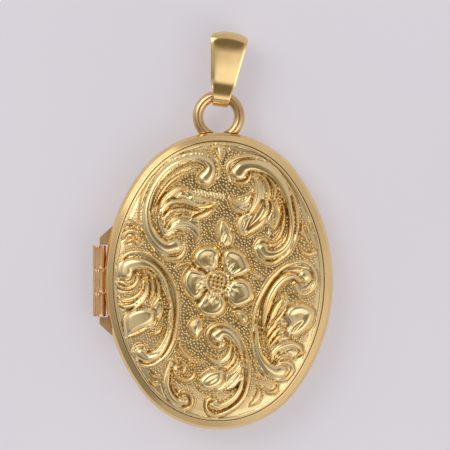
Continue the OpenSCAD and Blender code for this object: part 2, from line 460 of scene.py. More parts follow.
class Relief:
    """The plate's relief: heights over its ground at given points."""

    def __init__(self, x, y):
        self.x, self.y = x, y
        self.h = np.zeros_like(x)
        self.worked = np.zeros_like(x, bool)

    def near(self, line, reach, closed=False):
        """Which points lie near a line, their distance to its left, and their place along it."""
        low, high = line.min(0) - reach, line.max(0) + reach
        box = (self.x > low[0]) & (self.x < high[0]) & (self.y > low[1]) & (self.y < high[1])
        pick = np.nonzero(box)[0]
        dx = (self.x[pick][:, None] - line[None, :, 0]).astype(np.float32)
        dy = (self.y[pick][:, None] - line[None, :, 1]).astype(np.float32)
        i = (dx * dx + dy * dy).argmin(1)
        rows = np.arange(len(pick))
        dx, dy = dx[rows, i].astype(float), dy[rows, i].astype(float)
        ahead = headings(line, closed)[i]
        side = ahead[:, 0] * dy - ahead[:, 1] * dx
        if not closed:
            tip = (i == 0) | (i == len(line) - 1)
            sign = np.where(side < 0, -1, 1)
            side = np.where(tip, sign * np.hypot(dx, dy), side)
        return pick, side, i / (len(line) - 1)

    def moat(self, pick, outside, width, depth):
        """Sinks the strip just outside a form, so that its edge reads as a cut line."""
        fall = np.clip(1 - outside / width, 0, 1) ** 1.5
        beside_form = (outside >= 0) & (outside < width)
        h = self.h[pick]
        sunk = np.maximum(h - depth * fall, np.minimum(h, -0.05))
        self.h[pick] = np.where(beside_form, sunk, h)

    def ridge(self, points, width, height, lean=0.0, moat=0.1, depth=0.06, add=False, power=2.0):
        """A rounded band along a line. lean moves its crest towards the line's left (+) or right (-)."""
        line = curve(points)
        pick, side, t = self.near(line, float(np.max(width)) + moat)
        w = np.maximum(along(width, t), 0.02)
        s = side / w
        u = np.where(s > lean, (s - lean) / (1 - lean), (lean - s) / (1 + lean))
        form = along(height, t) * np.clip(1 - np.abs(u) ** power, 0, 1)
        inside = np.abs(s) < 1
        if moat:
            self.moat(pick, np.abs(side) - w, moat, depth)
        h = self.h[pick]
        raised = h + form if add else np.maximum(h, form)
        self.h[pick] = np.where(inside, raised, h)
        self.worked[pick] |= inside

    def groove(self, points, width, depth):
        """A round-bottomed cut along a line."""
        line = curve(points)
        pick, side, t = self.near(line, float(np.max(width)))
        s = side / np.maximum(along(width, t), 0.02)
        cut = along(depth, t) * np.clip(1 - s * s, 0, 1)
        self.h[pick] = np.maximum(self.h[pick] - cut, np.minimum(self.h[pick], -0.06))

    def pad(self, points, height, edge=0.4, hollow=0.0, moat=0.1, depth=0.08, tilt=(0, 0)):
        """A closed form with a rounded edge. hollow sinks its middle, and tilt slopes it."""
        line = curve(points, closed=True)
        area = np.sum(line[:, 0] * np.roll(line[:, 1], -1) - np.roll(line[:, 0], -1) * line[:, 1])
        if area < 0:
            line = line[::-1]
        pick, side, _ = self.near(line, moat + 0.01, closed=True)
        self.moat(pick, -side, moat, depth)
        rise = 1 - (1 - np.clip(side / edge, 0, 1)) ** 2
        dip = np.clip((side - edge) / edge, 0, 1)
        centre = line.mean(0)
        slope = tilt[0] * (self.x[pick] - centre[0]) + tilt[1] * (self.y[pick] - centre[1])
        form = (height + slope) * rise - hollow * dip * dip * (3 - 2 * dip)
        inside = side > 0
        h = self.h[pick]
        self.h[pick] = np.where(inside, np.maximum(h * 0.3, form), h)
        self.worked[pick] |= inside

    def ball(self, centre, radius, height, moat=0.1, depth=0.12):
        """A round boss."""
        away = np.hypot(self.x - centre[0], self.y - centre[1])
        pick = np.nonzero(away < radius + moat)[0]
        away = away[pick]
        self.moat(pick, away - radius, moat, depth)
        form = height * np.sqrt(np.clip(1 - (away / radius) ** 2, 0, 1))
        self.h[pick] = np.where(away < radius, np.maximum(self.h[pick], form), self.h[pick])
        self.worked[pick] |= away < radius

    def beads(self, points, radius, height):
        """A row of small round beads along a line."""
        line = curve(points, step=0.05)
        length = np.sum(np.linalg.norm(np.diff(line, axis=0), axis=1))
        count = max(2, int(length / (2.1 * radius)))
        for k in np.linspace(0, len(line) - 1, count).astype(int):
            self.ball(line[k], radius, height, moat=0.06, depth=0.08)


def shelf(r, line, offset):
    """A low flat band that fills the side of a scroll's outer line."""
    r.ridge(beside(line, offset), abs(offset), 0.1, power=6, moat=0)


def wire(r, line, offset, width, height):
    """The raised round edge of a scroll, just to the side of its outer line."""
    r.ridge(beside(line, offset), width, height, power=3)


def emboss_upper_left(r):
    """The big scroll at the upper left."""
    outer = [
        (0.15, 9.3), (0.2, 10), (-0.2, 10.7), (-1, 11.2), (-2, 11.35), (-3, 11.2), (-4, 10.8),
        (-5, 9.95), (-6, 8.9), (-6.5, 8), (-6.85, 7), (-6.95, 6), (-6.9, 5), (-6.6, 4.2), (-6, 3.1),
        (-5.2, 2.2), (-4.3, 1.8), (-3.3, 1.9), (-2.8, 2.6), (-2.8, 3.2),
    ]
    shelf(r, outer, 0.5)
    wire(r, outer, 0.2, 0.21, 0.24)
    band = [
        (-1.15, 8.95), (-0.8, 9.45), (-0.72, 10.0), (-1.2, 10.5), (-2, 10.72), (-3.4, 10.4),
        (-4.5, 9.7), (-5.35, 8.7), (-5.95, 7.5), (-6.25, 6.4), (-6.25, 5.4), (-6.0, 4.4), (-5.4, 3.45),
        (-4.6, 2.9), (-3.8, 3.05),
    ]
    r.ridge(
        band, [0.78, 0.5, 0.36, 0.38, 0.4, 0.38, 0.38, 0.4, 0.46, 0.56, 0.66, 0.74],
        0.44, depth=0.16, power=3,
    )
    r.groove(
        [(-1.1, 10.2), (-1.7, 10.55), (-2.6, 10.55), (-3.6, 10.15), (-4.6, 9.4), (-5.4, 8.3)],
        [0.03, 0.08, 0.08, 0.03],
        0.14,
    )
    r.groove(
        [(-1.4, 10.1), (-2.6, 10.05), (-3.7, 9.55), (-4.7, 8.7), (-5.45, 7.6), (-5.9, 6.2)],
        [0.1, 0.24, 0.24, 0.1],
        0.36,
    )
    r.ridge(
        [(-2, 9.6), (-3.1, 9.35), (-4.2, 8.65), (-5.05, 7.6), (-5.6, 6.5)],
        [0.08, 0.17, 0.17, 0.08],
        0.27,
    )
    r.groove([(-4.5, 4.0), (-4.2, 4.35), (-3.6, 4.45)], 0.06, 0.12)
    r.ridge([(-4.5, 3.9), (-4.0, 4.2), (-3.3, 4.2), (-2.9, 3.9)], [0.08, 0.15, 0.15, 0.08], 0.3)


def emboss_upper_left_leaf(r):
    """The leaf inside the upper left scroll, from its upper lobe down."""
    leaf = [
        (-4.9, 3.9), (-5.35, 5.0), (-5.4, 6.2), (-5.0, 7.3), (-4.2, 8.05), (-3.4, 8.45), (-2.8, 8.2),
        (-2.2, 7.6), (-1.2, 7.35), (-0.2, 6.95), (-0.3, 6.4), (-0.9, 5.7), (-1.6, 5.2), (-1.5, 4.2),
        (-1.9, 3.5), (-2.6, 4.3), (-3.6, 4.4), (-4.3, 4.0),
    ]
    r.pad(leaf, 0.2, edge=0.2, moat=0.06)
    r.ridge(
        [(-4.5, 4.3), (-3.7, 4.85), (-2.8, 4.95), (-2.1, 4.6), (-1.7, 3.9), (-1.9, 3.4)],
        [0.12, 0.3, 0.36, 0.3, 0.22, 0.08],
        0.3,
    )
    r.ridge(
        [(-5.15, 5.9), (-4.75, 6.9), (-4.0, 7.7), (-3.3, 8.05), (-2.85, 7.75)],
        [0.15, 0.36, 0.44, 0.36, 0.1],
        0.46, lean=0.3, depth=0.16,
    )
    r.ridge([(-2.7, 7.9), (-2.3, 7.5), (-2.5, 7.1)], [0.1, 0.3, 0.1], 0.3)
    r.ridge([(-2.6, 7.15), (-1.6, 7.05), (-0.7, 6.95), (0.0, 6.85)], [0.3, 0.3, 0.24, 0.05], 0.34, lean=-0.3)
    r.ridge(
        [(-2.6, 5.5), (-1.7, 5.55), (-0.9, 5.95), (-0.35, 6.4)],
        [0.12, 0.3, 0.3, 0.06],
        0.34, lean=-0.2, depth=0.14,
    )
    r.ridge(
        [(-4.95, 5.2), (-4.85, 6.1), (-4.2, 6.8), (-3.1, 6.95), (-2.0, 6.6), (-0.9, 6.6), (-0.3, 6.7)],
        [0.1, 0.26, 0.32, 0.34, 0.3, 0.24, 0.05],
        0.46, lean=0.25, depth=0.16,
    )
    r.ridge(
        [(-4.8, 4.7), (-4.7, 5.5), (-4.1, 6.1), (-3.2, 6.25), (-2.3, 6.05), (-1.6, 6.1)],
        [0.08, 0.2, 0.24, 0.24, 0.2, 0.05],
        0.44, lean=0.2, depth=0.16,
    )
    r.ridge(
        [(-4.6, 4.4), (-4.3, 5.1), (-3.7, 5.55), (-2.9, 5.65), (-2.3, 5.5)],
        [0.08, 0.18, 0.2, 0.18, 0.06],
        0.4, lean=0.2, depth=0.16,
    )
    r.groove([(-2.6, 5.4), (-1.6, 5.9), (-0.9, 6.25), (-0.25, 6.55)], [0.05, 0.1, 0.1, 0.04], 0.26)
    for k in range(10):
        x = -2.0 + 0.27 * k
        r.ridge([(x + 0.02, 7.85 - 0.035 * k), (x - 0.03, 7.6 - 0.03 * k)], 0.08, 0.13, moat=0.03)


def emboss_left_sprigs(r):
    """Three small curls between the upper left scroll and the plate's edge."""
    r.ridge([(-8.6, 4.4), (-8.3, 4.95), (-7.8, 5.15), (-7.25, 4.85)], [0.1, 0.24, 0.26, 0.1], 0.3)
    r.ridge(
        [(-8.4, 3.7), (-8.1, 4.25), (-7.5, 4.4), (-7.0, 4.0), (-6.8, 3.5)],
        [0.1, 0.24, 0.26, 0.1],
        0.34, depth=0.14,
    )
    r.ridge([(-8.1, 3.3), (-7.6, 3.6), (-7.0, 3.25)], [0.08, 0.22, 0.08], 0.28, depth=0.14)


def emboss_top(r):
    """The small curl at the top."""
    r.ridge([(-0.75, 11.3), (-0.3, 11.75), (0.2, 11.85), (0.75, 11.55)], [0.08, 0.2, 0.08], 0.3, depth=0.14)
    r.ridge([(0.1, 11.5), (0.15, 11.1), (0.2, 10.6)], [0.3, 0.22, 0.05], 0.2)


def emboss_upper_right(r):
    """The big scroll at the upper right."""
    outer = [
        (0.65, 9.1), (0.55, 9.8), (0.8, 10.5), (1.6, 11.0), (2.7, 11.12), (3.7, 10.9), (4.5, 10.4),
        (5.2, 9.8), (5.9, 8.9), (6.4, 8.1), (6.8, 7.2), (7.05, 6.2), (7.1, 5.2), (7.0, 4), (6.6, 3),
        (6.2, 2.3), (5.5, 1.75), (4.8, 1.35), (4, 1.4), (3.3, 1.9), (3.0, 2.6), (3.15, 3.3), (3.6, 3.8),
        (4.2, 3.8),
    ]
    shelf(r, outer, -0.5)
    wire(r, outer, -0.2, 0.21, 0.26)
    body = [
        (1.75, 9.45), (2.2, 9.95), (3.1, 10.1), (4.0, 9.8), (4.8, 9.2), (5.45, 8.4), (5.95, 7.4),
        (6.2, 6.4), (6.4, 5.4), (6.4, 4.4), (6.15, 3.4), (5.6, 2.7), (4.8, 2.3), (4.1, 2.35),
        (3.85, 2.8),
    ]
    r.ridge(
        body, [0.82, 0.62, 0.6, 0.56, 0.5, 0.4, 0.32, 0.28, 0.28, 0.34, 0.46, 0.62],
        0.42, depth=0.16, power=3.6,
    )
    r.groove(
        [(5.75, 7.2), (5.95, 6.4), (6.05, 5.4), (5.95, 4.4), (5.6, 3.6), (5.0, 3.05), (4.5, 3.0)],
        [0.04, 0.12, 0.15, 0.12, 0.05],
        0.3,
    )
    r.ridge(
        [(5.45, 7.3), (5.7, 6.4), (5.75, 5.4), (5.6, 4.5), (5.2, 3.75), (4.7, 3.4), (4.3, 3.5)],
        [0.06, 0.16, 0.2, 0.18, 0.08],
        0.34,
    )


def emboss_upper_right_leaf(r):
    """The leaf inside the upper right scroll."""
    leaf = [
        (2.5, 9.3), (3.6, 9.5), (4.5, 9.1), (5.1, 8.4), (5.1, 7.4), (5.5, 6.2), (5.35, 4.9), (4.8, 4.2),
        (4.2, 4.9), (3.5, 4.4), (2.6, 3.8), (1.8, 4.1), (1.6, 4.9), (2.0, 5.7), (1.4, 6.0), (0.9, 6.8),
        (0.9, 7.4), (1.7, 7.3), (2.7, 7.7), (2.8, 8.5),
    ]
    r.pad(leaf, 0.22, edge=0.2, moat=0.06)
    r.ridge(
        [(1.2, 8.75), (1.8, 8.5), (2.4, 8.6), (2.75, 9.0), (2.85, 9.45)],
        [0.06, 0.18, 0.22, 0.2, 0.1],
        0.38, depth=0.16,
    )
    r.ridge(
        [(4.2, 9.2), (4.75, 8.6), (5.0, 7.9), (4.8, 7.2)],
        [0.08, 0.22, 0.26, 0.08],
        0.4, lean=-0.2, depth=0.14,
    )
    r.ridge(
        [(3.6, 9.3), (4.15, 8.7), (4.4, 7.9), (4.3, 7.1), (4.0, 6.6)],
        [0.08, 0.22, 0.24, 0.22, 0.06],
        0.44, lean=0.2, depth=0.16,
    )
    r.ridge(
        [(2.9, 9.2), (3.35, 8.7), (3.5, 7.9), (3.4, 7.1), (3.05, 6.3), (2.5, 5.6)],
        [0.12, 0.4, 0.5, 0.48, 0.36, 0.1],
        0.48, lean=-0.25, depth=0.16,
    )
    r.ridge(
        [(2.95, 7.7), (2.55, 7.0), (2.0, 6.75), (1.45, 6.9), (1.0, 7.3)],
        [0.1, 0.26, 0.3, 0.26, 0.08],
        0.38, lean=-0.2, depth=0.14,
    )
    r.ridge([(0.95, 7.1), (1.2, 6.4), (1.85, 6.05), (2.6, 6.15)], [0.08, 0.22, 0.24, 0.08], 0.38, depth=0.16)
    r.ridge(
        [(2.5, 5.9), (2.0, 5.5), (1.75, 4.8), (1.95, 4.2), (2.5, 3.95)],
        [0.1, 0.3, 0.34, 0.28, 0.08],
        0.42, depth=0.14,
    )
    r.ridge(
        [(2.2, 3.95), (2.9, 4.35), (3.7, 4.9), (4.2, 5.6)],
        [0.08, 0.3, 0.32, 0.1],
        0.46, lean=0.3, depth=0.14,
    )
    r.ridge(
        [(4.5, 7.2), (4.95, 6.5), (5.2, 5.7), (5.05, 4.9), (4.75, 4.4)],
        [0.08, 0.3, 0.36, 0.28, 0.08],
        0.44, lean=-0.2, depth=0.16,
    )
    r.groove(
        [(3.9, 7.0), (3.75, 6.3), (3.35, 5.6), (2.85, 5.0), (2.5, 4.5)],
        [0.15, 0.44, 0.44, 0.3, 0.08],
        0.34,
    )
    r.groove([(4.55, 6.9), (4.5, 6.2), (4.3, 5.6)], [0.05, 0.14, 0.05], 0.26)
    r.beads([(4.4, 4.1), (4.5, 4.7), (4.4, 5.3)], 0.09, 0.16)


def emboss_right_sprigs(r):
    """Small curls between the upper right scroll and the plate's edge."""
    r.ridge([(7.3, 5.0), (7.4, 4.2), (7.75, 3.5), (8.15, 3.1)], [0.08, 0.24, 0.24, 0.06], 0.34)
    r.ridge(
        [(7.05, 3.0), (7.4, 2.5), (8, 2.35), (8.4, 2.6), (8.2, 2.95)],
        [0.08, 0.22, 0.24, 0.2, 0.08],
        0.32, depth=0.14,
    )
    r.ridge([(7.9, 5.6), (8.0, 4.9), (8.3, 4.2)], [0.06, 0.14, 0.06], 0.18)


def emboss_left(r):
    """The big scroll at the left."""
    outer = [
        (-9.05, 0.0), (-9.0, 1.0), (-8.65, 2.0), (-8, 2.6), (-7, 2.75), (-6, 2.45), (-5.2, 1.85),
        (-4.6, 1.2), (-4.1, 0.5), (-3.75, -0.2), (-3.5, -1), (-3.38, -2), (-3.38, -3), (-3.5, -4),
        (-3.75, -5.3), (-4.3, -6.4), (-5, -7.1), (-5.8, -7.55), (-6.7, -7.55), (-7.35, -7.1),
        (-7.65, -6.4), (-7.5, -5.8), (-7.0, -5.45), (-6.4, -5.5), (-6.1, -5.9),
    ]
    shelf(r, outer, -0.5)
    wire(r, outer, -0.2, 0.2, 0.27)
    body = [
        (-8.15, 0.75), (-7.9, 1.3), (-7.1, 1.5), (-6.2, 1.3), (-5.4, 0.7), (-4.85, -0.1), (-4.45, -1.1),
        (-4.15, -2.2), (-4.1, -3.3), (-4.25, -4.5), (-4.7, -5.6), (-5.4, -6.5), (-6.2, -6.75),
        (-6.85, -6.35),
    ]
    r.ridge(
        body, [0.78, 0.66, 0.58, 0.5, 0.42, 0.32, 0.24, 0.2, 0.2, 0.24, 0.3, 0.4, 0.6],
        0.42, depth=0.14, power=3.2,
    )
    r.ridge(
        [(-4.15, -1.6), (-4.35, -3.0), (-4.4, -4.3), (-4.8, -5.3), (-5.4, -6.1), (-6.1, -6.4)],
        [0.06, 0.12, 0.16, 0.26, 0.28, 0.14],
        0.46, depth=0.1,
    )
    r.ridge(
        [(-9.0, -0.05), (-8.6, -0.5), (-8.0, -0.62), (-7.4, -0.35), (-7.05, 0.25), (-7.1, 0.85)],
        [0.1, 0.2, 0.22, 0.24, 0.22, 0.1],
        0.38, depth=0.14,
    )


def emboss_left_leaf(r):
    """The leaf inside the left scroll."""
    leaf = [
        (-6.7, 1.0), (-5.9, 1.0), (-5.2, 0.2), (-4.9, -1.0), (-4.8, -2.2), (-5.1, -3.5), (-5.8, -4.1),
        (-7, -4.6), (-8.1, -5.0), (-8.4, -4.3), (-8.3, -3.2), (-8.0, -2.5), (-8.7, -2.1), (-8.8, -1.4),
        (-7.9, -1.5), (-7.0, -1.0), (-6.7, 0.0),
    ]
    r.pad(leaf, 0.2, edge=0.2, moat=0.06)
    r.pad(
        [
            (-7.9, -2.6), (-8.35, -3.3), (-8.35, -4.3), (-8.1, -4.95), (-7.5, -4.8), (-6.9, -4.45),
            (-6.1, -4.1), (-5.5, -3.5), (-5.5, -2.6), (-6.3, -2.2), (-7.2, -2.3),
        ],
        0.44, edge=0.6,
    )
    r.ridge(
        [(-8.0, -4.9), (-7.2, -4.6), (-6.5, -4.25), (-6.0, -4.0)],
        [0.08, 0.17, 0.17, 0.06],
        0.4, lean=-0.3, depth=0.1,
    )
    r.ridge(
        [(-8.8, -1.3), (-8.3, -1.62), (-7.5, -1.5), (-6.9, -1.05), (-6.55, -0.5)],
        [0.08, 0.26, 0.3, 0.24, 0.06],
        0.38, depth=0.14,
    )
    r.ridge(
        [(-8.7, -2.05), (-8.1, -2.25), (-7.4, -2.1), (-6.8, -1.6), (-6.4, -0.9), (-6.35, -0.3)],
        [0.08, 0.26, 0.28, 0.26, 0.22, 0.06],
        0.4, lean=0.2, depth=0.14,
    )
    r.ridge(
        [(-6.55, 1.0), (-6.3, 0.2), (-6.2, -0.8), (-6.6, -1.7), (-7.3, -2.4), (-7.9, -2.75)],
        [0.1, 0.2, 0.24, 0.26, 0.22, 0.06],
        0.46, lean=-0.2, depth=0.16,
    )
    r.ridge(
        [(-6.0, 0.8), (-5.8, -0.1), (-5.75, -1.0), (-6.1, -1.9)],
        [0.1, 0.22, 0.24, 0.06],
        0.42, lean=0.2, depth=0.16,
    )
    r.ridge(
        [(-5.5, 0.4), (-5.25, -0.4), (-5.2, -1.3), (-5.6, -2.0), (-6.1, -2.5)],
        [0.08, 0.22, 0.24, 0.22, 0.06],
        0.44, lean=0.2, depth=0.16,
    )
    r.ridge(
        [(-5.0, -1.4), (-4.9, -2.3), (-5.1, -3.2), (-5.5, -3.9)],
        [0.06, 0.18, 0.2, 0.06],
        0.38, lean=0.2, depth=0.14,
    )
    r.ridge([(-4.9, -3.95), (-5.25, -4.45), (-5.85, -4.75)], [0.08, 0.24, 0.08], 0.4, depth=0.12)
    r.beads([(-5.0, 0.4), (-4.75, -0.3), (-4.6, -1.1)], 0.1, 0.2)


def emboss_petals(r):
    """The flower's five veined petals."""
    for petal in (
        [
            (-0.3, 0.9), (0.15, 1.9), (0.2, 2.6), (-0.4, 3.1), (-1.3, 3.15), (-2.05, 2.7), (-2.35, 1.8),
            (-1.6, 0.9),
        ],
        [
            (0.4, 0.9), (0.2, 2.0), (0.5, 2.8), (1.3, 2.95), (2.2, 2.55), (2.65, 1.8), (2.85, 0.9),
            (2.0, 0.3), (1.1, 0.2),
        ],
        [
            (1.1, 0.1), (2.1, 0.3), (2.8, -0.1), (3.15, -1), (3.0, -1.8), (2.2, -2.3), (1.4, -2.45),
            (0.75, -2.0), (0.5, -1.1),
        ],
        [
            (0.4, -1.2), (0.8, -1.9), (0.6, -2.7), (0.0, -3.2), (-0.8, -3.3), (-1.65, -3.0),
            (-2.1, -2.3), (-1.8, -1.7), (-1.1, -0.9),
        ],
        [
            (-1.2, -0.9), (-1.6, -1.6), (-2.3, -1.75), (-2.95, -1.1), (-3.25, -0.3), (-3.1, 0.6),
            (-2.6, 1.2), (-1.7, 1.1), (-1.0, 0.6),
        ],
    ):
        r.pad(petal, 0.46, edge=0.5, hollow=0.06, moat=0.1, depth=0.12)
        middle = np.mean(petal, 0)
        for turn in (-0.3, 0.0, 0.3):
            c, s = math.cos(turn), math.sin(turn)
            tip = np.array([middle[0] * c - middle[1] * s, middle[0] * s + middle[1] * c])
            r.groove([tip * 0.6, tip * 0.78, tip * 0.95], [0.05, 0.08, 0.03], 0.07)


def emboss_flower_centre(r):
    """The flower's fringed boss, cut with a ring and a lattice."""
    centre = np.array([-0.1, -0.1])
    for k in range(24):
        turn = 2 * math.pi * k / 24
        ray = np.array([math.cos(turn), math.sin(turn)])
        r.ridge([centre + ray * 1.0, centre + ray * 1.55], [0.11, 0.04], 0.44, moat=0.05, depth=0.1)
    r.ball(centre, 1.15, 0.42, moat=0.04, depth=0.1)
    r.groove(
        [centre + 0.78 * np.array([math.cos(t), math.sin(t)]) for t in np.linspace(0, 6.4, 16)],
        0.1, 0.22,
    )
    for k in (-1, 0, 1):
        reach = 0.55 if k else 0.68
        r.groove([centre + (-reach, 0.36 * k + 0.12), centre + (reach, 0.36 * k - 0.12)], 0.1, 0.2)
        r.groove([centre + (0.36 * k - 0.12, -reach), centre + (0.36 * k + 0.12, reach)], 0.1, 0.2)


def emboss_buds(r):
    """The bud, and the sepals and small leaves between the petals."""
    r.pad(
        [
            (0.3, 5.45), (-0.15, 4.8), (-0.25, 3.9), (0.05, 3.1), (0.5, 2.8), (1.1, 3.1), (1.35, 3.8),
            (1.2, 4.6), (0.8, 5.1),
        ],
        0.4, edge=0.45,
    )
    r.groove([(0.3, 5.2), (0.6, 4.3), (0.35, 3.6), (0.2, 3.1)], [0.03, 0.1, 0.1, 0.04], 0.16)
    r.groove([(0.6, 4.2), (0.95, 3.7), (0.75, 3.1)], [0.04, 0.1, 0.04], 0.16)
    r.ridge([(-3.8, 1.1), (-3.2, 1.45), (-2.6, 1.55), (-2.2, 1.2)], [0.06, 0.2, 0.2, 0.08], 0.32)
    r.ridge([(2.6, 1.25), (3.0, 0.7), (3.8, 0.3)], [0.08, 0.26, 0.06], 0.34)
    r.ridge([(2.9, 0.3), (3.3, 0.35), (3.8, 0.2)], [0.06, 0.16, 0.05], 0.28)
    r.pad(
        [
            (-1.6, -3.1), (-2.3, -3.3), (-2.7, -3.9), (-2.5, -4.6), (-1.95, -5.1), (-1.4, -4.4),
            (-1.3, -3.6),
        ],
        0.38, edge=0.28, hollow=0.16,
    )
    r.pad(
        [(1.0, -2.55), (1.4, -3.1), (1.9, -3.7), (2.5, -3.75), (2.6, -3.2), (2.3, -2.7), (1.8, -2.45)],
        0.36, edge=0.25, hollow=0.1,
    )


def emboss_right(r):
    """The double scroll at the right."""
    outer = [
        (2.85, -4.2), (2.85, -3.2), (3.0, -2.4), (3.4, -1.4), (4.0, -0.3), (4.6, 0.5), (5.5, 1.3),
        (6.3, 1.75), (7.2, 1.95), (8.0, 1.7), (8.5, 1.1), (8.72, 0.3), (8.6, -0.5), (8.1, -1.1),
        (7.4, -1.35), (6.75, -1.05), (6.5, -0.5),
    ]
    lower = [
        (2.85, -3.4), (2.8, -4.6), (2.8, -5.5), (2.95, -6.5), (3.3, -7.4), (3.9, -8.1), (4.6, -8.6),
        (5.4, -8.85), (6.1, -8.6), (6.6, -8), (6.6, -7.4), (6.2, -7.0), (5.6, -6.9), (5.1, -7.1),
    ]
    shelf(r, outer, -0.5)
    shelf(r, lower, 0.5)
    wire(r, outer, -0.22, 0.22, 0.28)
    wire(r, lower, 0.18, 0.18, 0.26)
    r.ball((7.55, 0.45), 0.62, 0.34)
    channel = [(3.4, -3.2), (3.35, -4.4), (3.4, -5.6), (3.7, -6.7), (4.3, -7.5), (5.0, -7.95), (5.45, -7.9)]
    r.ridge(channel, [0.1, 0.2, 0.26, 0.34, 0.44, 0.56, 0.66], 0.38, depth=0.12, power=3.2)
    band = [
        (7.15, 0.05), (6.5, 0.42), (5.75, 0.2), (5.1, -0.4), (4.55, -1.3), (4.2, -2.4), (4.0, -3.5),
        (3.95, -4.4),
    ]
    r.ridge(band, [0.2, 0.42, 0.46, 0.46, 0.42, 0.36, 0.28, 0.08], 0.48, lean=-0.1, depth=0.2, power=2.4)
    r.groove(
        [(3.55, -3.2), (3.75, -2.2), (4.15, -1.1), (4.8, 0.0), (5.6, 0.8), (6.5, 1.15), (7.2, 1.1)],
        [0.08, 0.15, 0.17, 0.15, 0.08],
        0.2,
    )


def emboss_right_leaf(r):
    """The leaf inside the right scroll."""
    leaf = [
        (5.9, -1.1), (5.0, -1.8), (4.4, -2.9), (4.1, -4.2), (4.1, -5.5), (4.5, -6.6), (4.9, -7.1),
        (6.0, -6.7), (7.0, -6.6), (7.3, -6.0), (6.7, -5.2), (7.6, -4.4), (8.4, -3.2), (8.1, -2.2),
        (7.2, -1.9), (6.2, -2.1),
    ]
    r.pad(leaf, 0.2, edge=0.2, moat=0.06)
    r.pad(
        [
            (5.8, -2.5), (6.5, -1.95), (7.5, -1.88), (8.3, -2.35), (8.48, -3.0), (8.1, -3.9),
            (7.4, -4.6), (6.6, -5.0), (6.0, -5.0), (5.7, -4.4), (6.0, -3.8), (5.7, -3.2),
        ],
        0.44, edge=0.5, hollow=0.08,
    )
    r.groove([(6.2, -4.9), (6.6, -4.2), (7.3, -3.5)], [0.08, 0.2, 0.04], 0.16)
    r.ridge(
        [(5.75, -1.3), (5.2, -2.1), (4.7, -3.0), (4.35, -3.8)],
        [0.1, 0.34, 0.32, 0.08],
        0.46, lean=0.2, depth=0.16,
    )
    r.ridge(
        [(6.0, -2.0), (5.6, -2.8), (5.0, -3.6), (4.6, -4.2)],
        [0.06, 0.2, 0.2, 0.06],
        0.42, lean=0.2, depth=0.16,
    )
    r.ridge(
        [(4.15, -5.1), (4.5, -4.3), (5.1, -3.75), (5.5, -3.6)],
        [0.08, 0.2, 0.2, 0.06],
        0.4, lean=0.2, depth=0.16,
    )
    r.ridge(
        [(4.2, -5.7), (4.7, -4.8), (5.3, -4.2), (5.9, -3.9)],
        [0.08, 0.2, 0.22, 0.06],
        0.42, lean=0.2, depth=0.16,
    )
    r.ridge(
        [(4.4, -6.1), (4.9, -5.3), (5.4, -4.8), (5.9, -4.6)],
        [0.08, 0.2, 0.2, 0.06],
        0.42, lean=0.2, depth=0.16,
    )
    r.ridge(
        [
            (4.65, -7.0), (4.75, -6.3), (5.4, -5.75), (6.3, -5.5), (7.0, -5.75), (7.2, -6.2),
            (6.9, -6.55),
        ],
        [0.14, 0.34, 0.46, 0.44, 0.36, 0.24, 0.08],
        0.46, depth=0.16,
    )
    r.ridge(
        [(5.0, -6.95), (5.4, -6.55), (6.0, -6.4), (6.5, -6.65)],
        [0.08, 0.17, 0.17, 0.06],
        0.34, depth=0.14,
    )
    r.beads([(3.7, -4.1), (3.68, -4.7), (3.72, -5.3)], 0.14, 0.46)


def emboss_lower_left(r):
    """The small scroll at the lower left, with its leaves."""
    outer = [
        (-4.4, -7.0), (-4.8, -8), (-4.95, -9), (-4.75, -9.8), (-4.35, -10.5), (-3.8, -11.05),
        (-3.1, -11.35), (-2.4, -11.15), (-2.1, -10.6), (-2.25, -9.95), (-2.7, -9.5), (-3.2, -9.5),
    ]
    shelf(r, outer, 0.45)
    wire(r, outer, 0.18, 0.18, 0.28)
    r.ridge(
        [(-4.2, -7.6), (-4.4, -8.4), (-4.45, -9.2), (-4.15, -10.0), (-3.6, -10.55), (-2.95, -10.45)],
        [0.08, 0.2, 0.26, 0.34, 0.42, 0.46],
        0.4, depth=0.14, power=3,
    )
    r.ridge(
        [(-4.05, -8.0), (-4.1, -9.0), (-3.8, -9.75), (-3.3, -10.2), (-2.95, -10.3)],
        [0.05, 0.12, 0.14, 0.08],
        0.44, depth=0.1,
    )
    r.ridge(
        [(-3.35, -5.1), (-3.3, -5.9), (-2.8, -6.5), (-2.0, -6.8)],
        [0.06, 0.24, 0.26, 0.06],
        0.36, lean=-0.2, depth=0.14,
    )
    r.ridge([(-3.7, -6.2), (-3.75, -6.9), (-3.5, -7.4)], [0.06, 0.24, 0.08], 0.34, depth=0.12)
    r.ridge([(-2.6, -6.9), (-2.0, -7.1), (-1.4, -7.0)], [0.08, 0.22, 0.06], 0.32, depth=0.12)
    r.ridge([(-3.2, -6.9), (-2.95, -7.5), (-3.1, -8.0)], [0.08, 0.34, 0.2], 0.36, depth=0.14)
    r.ridge(
        [(-4.0, -7.7), (-3.6, -8.35), (-2.9, -8.65), (-2.3, -8.45), (-2.1, -7.9), (-2.3, -7.4)],
        [0.06, 0.2, 0.26, 0.24, 0.2, 0.06],
        0.38, depth=0.14,
    )
    r.ridge([(-6.0, -8.0), (-5.6, -8.35), (-5.15, -8.3)], [0.06, 0.2, 0.06], 0.3, depth=0.12)
    r.ridge([(-6.0, -8.75), (-5.6, -9.0), (-5.15, -8.9)], [0.06, 0.18, 0.06], 0.28, depth=0.12)


